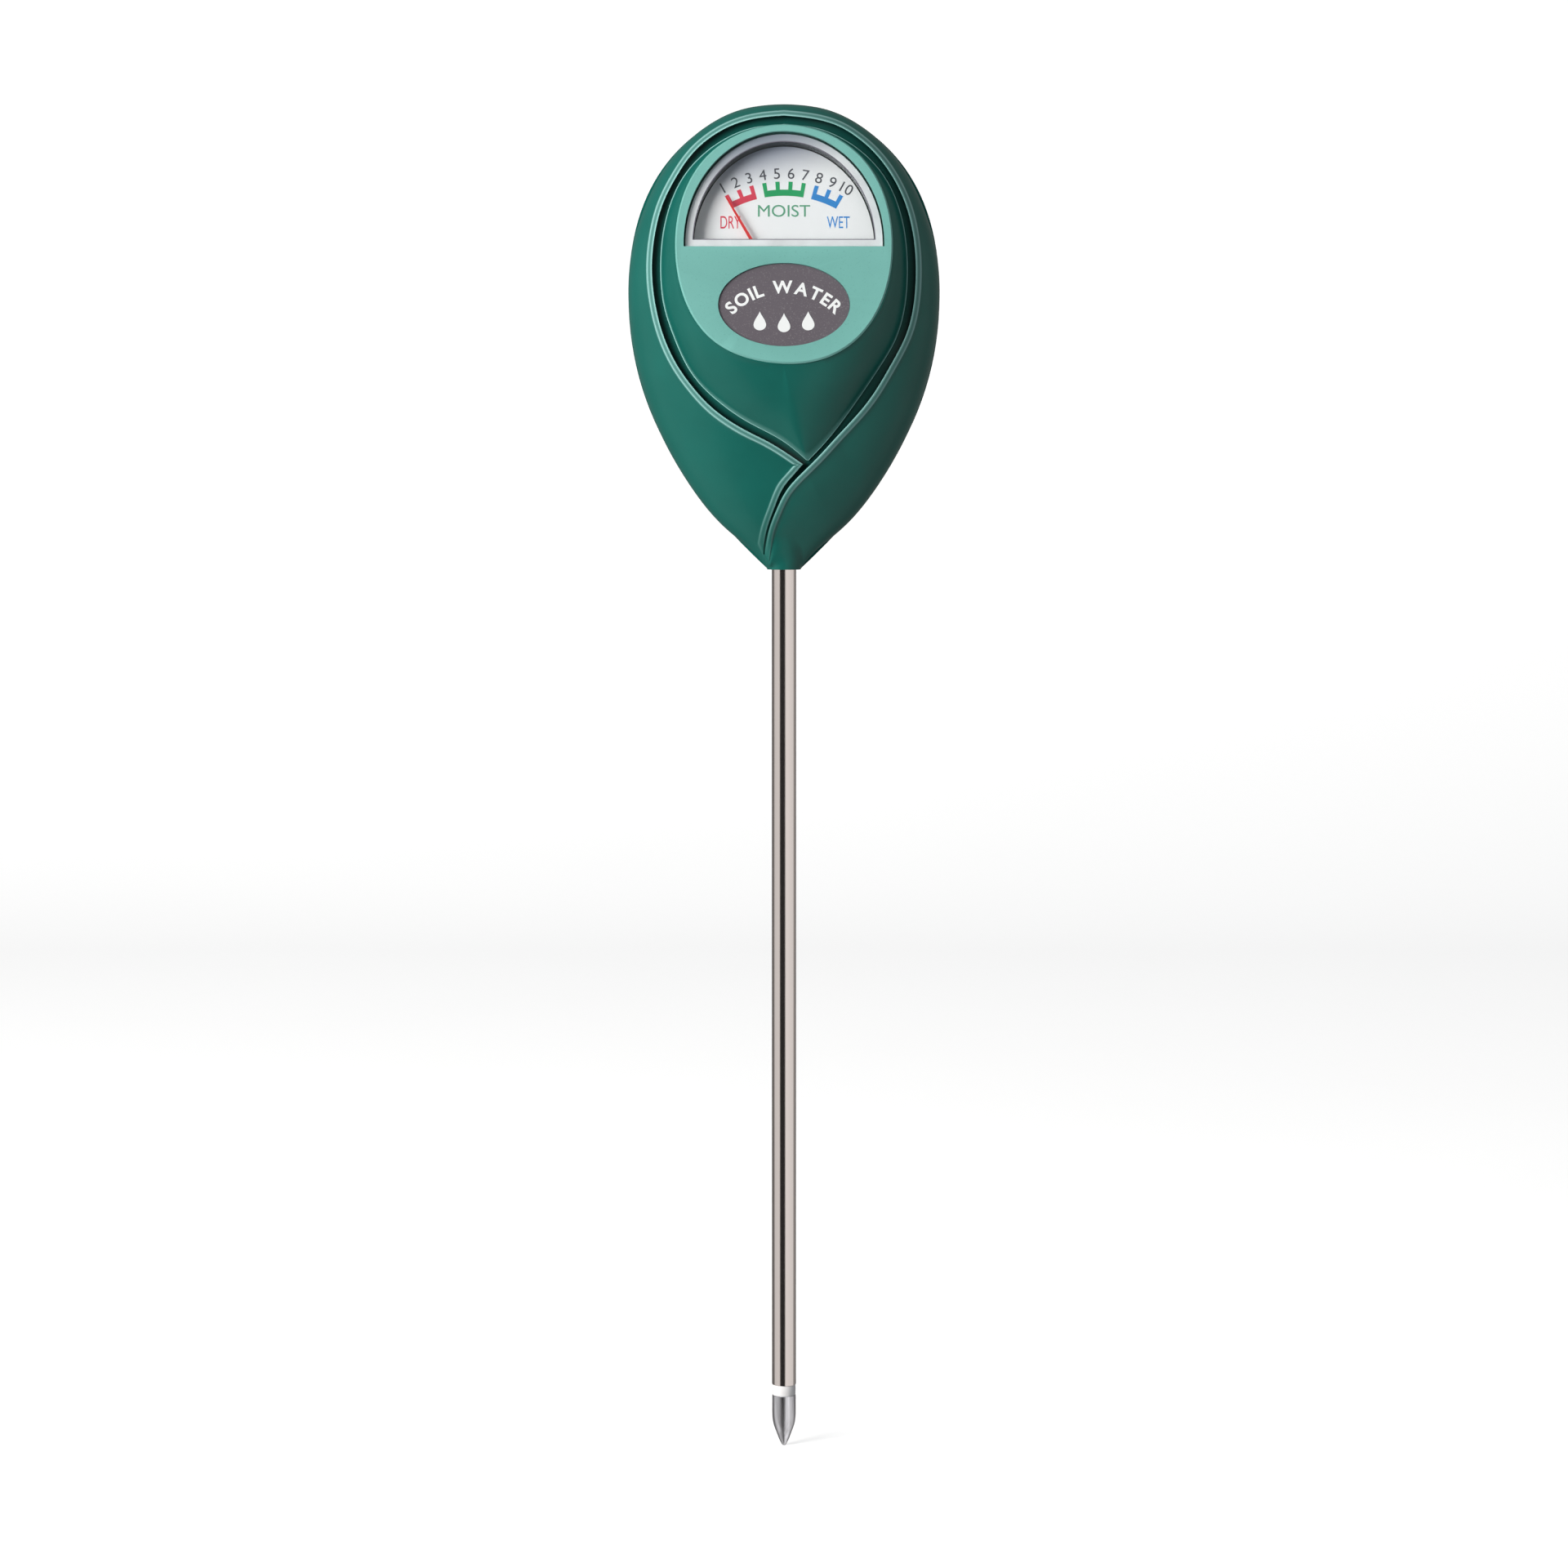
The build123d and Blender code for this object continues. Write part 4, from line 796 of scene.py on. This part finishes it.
def window_loop(inset, count=96):
    """Half ellipse with a flat sill on the face plane, moved in by inset; starts and ends on the sill."""
    wide, tall, sill = 20.0 - inset, 23.3 - inset, 9.36 + inset
    start = math.asin((sill - 10.3) / tall)
    angles = [start + (math.pi - 2 * start) * k / count for k in range(count + 1)]
    curve = [(wide * math.cos(a), 10.3 + tall * math.sin(a)) for a in angles]
    left, right = curve[-1], curve[0]
    flat = [(left[0] + (right[0] - left[0]) * k / 24, sill) for k in range(1, 24)]
    return curve + flat


def window_band(name, outer, inner, low, high, material):
    """Closed band between two insets of the window's outline, between two depths."""
    loops = [[on_face(u, v, d) for u, v in window_loop(inset)]
             for inset, d in ((outer, low), (outer, high), (inner, high), (inner, low))]
    count = len(loops[0])
    verts = [p for loop in loops for p in loop]
    faces = []
    for r in range(4):
        q = (r + 1) % 4
        for c in range(count):
            d = (c + 1) % count
            faces.append((r * count + c, r * count + d, q * count + d, q * count + c))
    return make_mesh(name, verts, faces, material, sharp=30)


# The lens's frosted rim band, then the thin dark band of painted shadow along its inner edge.
window_band("lens_rim", 0.32, 1.7, -1.12, -1.02, rim_frost)
window_band("lens_rim_painted_shadow", 1.7, 1.88, -1.14, -1.04, rim_painted_shadow)

# The scale runs evenly either side of the middle, on arcs about the pointer's pivot.
FIRST_MARK = -28.3
MARK_STEP = 2 * 28.3 / 9
BAND_IN, BAND_OUT, TICK_OUT, NUMBER_R = 21.3, 22.6, 24.3, 26.1
TICK_WIDTH = 0.84
dial_top = -3.8
ink = (dial_top + 0.002, dial_top + 0.03)
groups = [("low", ink_red, 0, 3), ("middle", ink_green, 3, 7), ("high", ink_blue, 7, 10)]
for label, material, first, last in groups:
    tick_angles = [FIRST_MARK + MARK_STEP * k for k in range(first, last)]
    shapes = [arc_band(BAND_IN, BAND_OUT, tick_angles[0] - 1.0, tick_angles[-1] + 1.0)]
    prism("dial_band_" + label, shapes, ink[0], ink[1], material)
    marks = []
    for a in tick_angles:
        half = math.degrees(0.5 * TICK_WIDTH / TICK_OUT)
        marks.append(arc_band(BAND_OUT - 0.1, TICK_OUT, a - half, a + half, 1))
    prism("dial_ticks_" + label, marks, ink[0] + 0.001, ink[1] + 0.004, material)
for k in range(10):
    angle = FIRST_MARK + MARK_STEP * k
    lettering("dial_number_%d" % (k + 1), str(k + 1), 2.35, polar(NUMBER_R, angle), ink[0], ink[1], ink_grey,
              width=0.98, turn=angle)
lettering("dial_word_dry", "DRY", 2.8, (-10.8, 15.8), ink[0], ink[1], ink_red, width=0.56)
lettering("dial_word_moist", "MOIST", 2.6, (-0.1, 18.2), ink[0], ink[1], ink_mint, width=1.04)
lettering("dial_word_wet", "WET", 2.65, (10.9, 15.8), ink[0], ink[1], ink_blue, width=0.59)

badge_top = -0.35
arched_lettering("badge_words", "SOIL WATER", 2.6, (0, -2.75 - 11.2), 15.0, 0.5, badge_top + 0.002,
                 badge_top + 0.06, badge_ink, bold=0.03)


def droplet(centre, size):
    """Teardrop outline with its point up."""
    loop = []
    for k in range(36):
        a = 2 * math.pi * k / 36
        r = size * 0.5
        pinch = (1 + math.cos(a)) / 2
        loop.append((centre[0] + r * math.sin(a) * (1 - pinch ** 3 * 0.9), centre[1] + r * math.cos(a) + size * 0.45 * pinch ** 3))
    return loop


prism("badge_drops", [droplet((x, -2.75 - 4.3 + abs(x) * 0.08), 2.7) for x in (-4.8, 0, 4.8)], badge_top + 0.002,
      badge_top + 0.06, badge_ink)

# ---- stage, light and camera ----
low, high = cad_low, cad_high


def stage_mesh(name, verts, faces, colour, rough):
    mesh = bpy.data.meshes.new(name)
    mesh.from_pydata(verts, [], faces)
    obj = bpy.data.objects.new(name, mesh)
    bpy.context.scene.collection.objects.link(obj)
    mesh.shade_smooth()
    mat = node_material(name, colour, rough, grain=2.0, grain_depth=0.0, mottle=0.01, mottle_mm=300, edge_light=0)
    mat.node_tree.nodes["Principled BSDF"].inputs["Emission Color"].default_value = (1, 1, 1, 1)
    mat.node_tree.nodes["Principled BSDF"].inputs["Emission Strength"].default_value = 0.60
    mesh.materials.append(mat)
    return obj


FLOOR_Z = low.z
sweep_profile = [(-6.0, 0.0), (0.9, 0.0)]
for k in range(1, 13):
    a = math.pi / 2 * k / 12
    sweep_profile.append((0.9 + 0.5 * math.sin(a), 0.5 - 0.5 * math.cos(a)))
sweep_profile.append((1.4, 5.0))
sweep_verts = [(x, y, FLOOR_Z + z) for y, z in sweep_profile for x in (-8.0, 8.0)]
sweep_faces = [(2 * k, 2 * k + 1, 2 * k + 3, 2 * k + 2) for k in range(len(sweep_profile) - 1)]
backdrop = stage_mesh("studio_sweep", sweep_verts, sweep_faces, (0.90, 0.90, 0.89), 0.6)
backdrop.visible_glossy = False
backdrop.visible_diffuse = False

# Soft light from all round, and two tall bright panels with a dark gap between them for things that shine.
world = bpy.data.worlds.new("studio")
bpy.context.scene.world = world
world.use_nodes = True
wn, wl = world.node_tree.nodes, world.node_tree.links
soft = wn["Background"]
soft.inputs["Strength"].default_value = 0.24
soft.inputs["Color"].default_value = (0.93, 0.96, 1.0, 1)
way = wn.new("ShaderNodeTexCoord")
split = wn.new("ShaderNodeSeparateXYZ")
wl.new(way.outputs["Generated"], split.inputs["Vector"])
back = wn.new("ShaderNodeMath")
back.operation = "MULTIPLY"
back.inputs[1].default_value = -1.0
wl.new(split.outputs["Y"], back.inputs[0])
turn = wn.new("ShaderNodeMath")
turn.operation = "ARCTAN2"
wl.new(split.outputs["X"], turn.inputs[0])
wl.new(back.outputs["Value"], turn.inputs[1])
share = wn.new("ShaderNodeMapRange")
share.inputs["From Min"].default_value = -math.pi
share.inputs["From Max"].default_value = math.pi
wl.new(turn.outputs["Value"], share.inputs["Value"])
panels = wn.new("ShaderNodeValToRGB")
steps = [(-180, 0.22), (-112, 0.16), (-100, 0.75), (-44, 0.85), (-37, 0.03), (9, 0.03), (16, 1.0), (98, 0.85),
         (112, 0.30), (180, 0.22)]
ramp = panels.color_ramp
while len(ramp.elements) < len(steps):
    ramp.elements.new(0.5)
for element, (degrees, bright) in zip(ramp.elements, steps):
    element.position = (degrees + 180) / 360
for element, (degrees, bright) in zip(ramp.elements, steps):
    element.color = (bright, bright * 0.95, bright * 0.91, 1)
wl.new(share.outputs["Result"], panels.inputs["Fac"])
shiny = wn.new("ShaderNodeBackground")
wl.new(panels.outputs["Color"], shiny.inputs["Color"])
path = wn.new("ShaderNodeLightPath")
choose = wn.new("ShaderNodeMixShader")
wl.new(path.outputs["Is Glossy Ray"], choose.inputs["Fac"])
wl.new(soft.outputs["Background"], choose.inputs[1])
wl.new(shiny.outputs["Background"], choose.inputs[2])
wl.new(choose.outputs["Shader"], wn["World Output"].inputs["Surface"])


def area(name, place, aim, size, power, colour=(1, 1, 1), size_y=None):
    light = bpy.data.lights.new(name, "AREA")
    light.energy = power
    light.color = colour
    light.shape = "RECTANGLE"
    light.size = size
    light.size_y = size_y or size
    obj = bpy.data.objects.new(name, light)
    bpy.context.scene.collection.objects.link(obj)
    obj.location = place
    obj.rotation_mode = "QUATERNION"
    obj.rotation_quaternion = (Vector(aim) - Vector(place)).to_track_quat("-Z", "Y")
    return obj


key = area("key_left", (-0.95, -0.80, 0.20), (0, 0, 0.03), 0.7, 21.0, (1.0, 0.98, 0.95), 0.9)
top = area("top_soft", (-0.25, -0.30, 0.95), (0, 0, 0.03), 0.6, 1.6)
key.visible_glossy = False

centre = (low + high) / 2
camera_data = bpy.data.cameras.new("camera")
camera_data.lens = 85
camera_data.sensor_width = 36
camera = bpy.data.objects.new("camera", camera_data)
bpy.context.scene.collection.objects.link(camera)
height = high.z - low.z
distance = height / 0.86 / (36 / 85)
elevation = math.radians(4)
camera.location = (centre.x, centre.y - distance * math.cos(elevation), centre.z + distance * math.sin(elevation))
camera.rotation_mode = "QUATERNION"
camera.rotation_quaternion = (Vector(centre) - camera.location).to_track_quat("-Z", "Y")
bpy.context.scene.camera = camera
bpy.context.scene.view_settings.view_transform = "Standard"
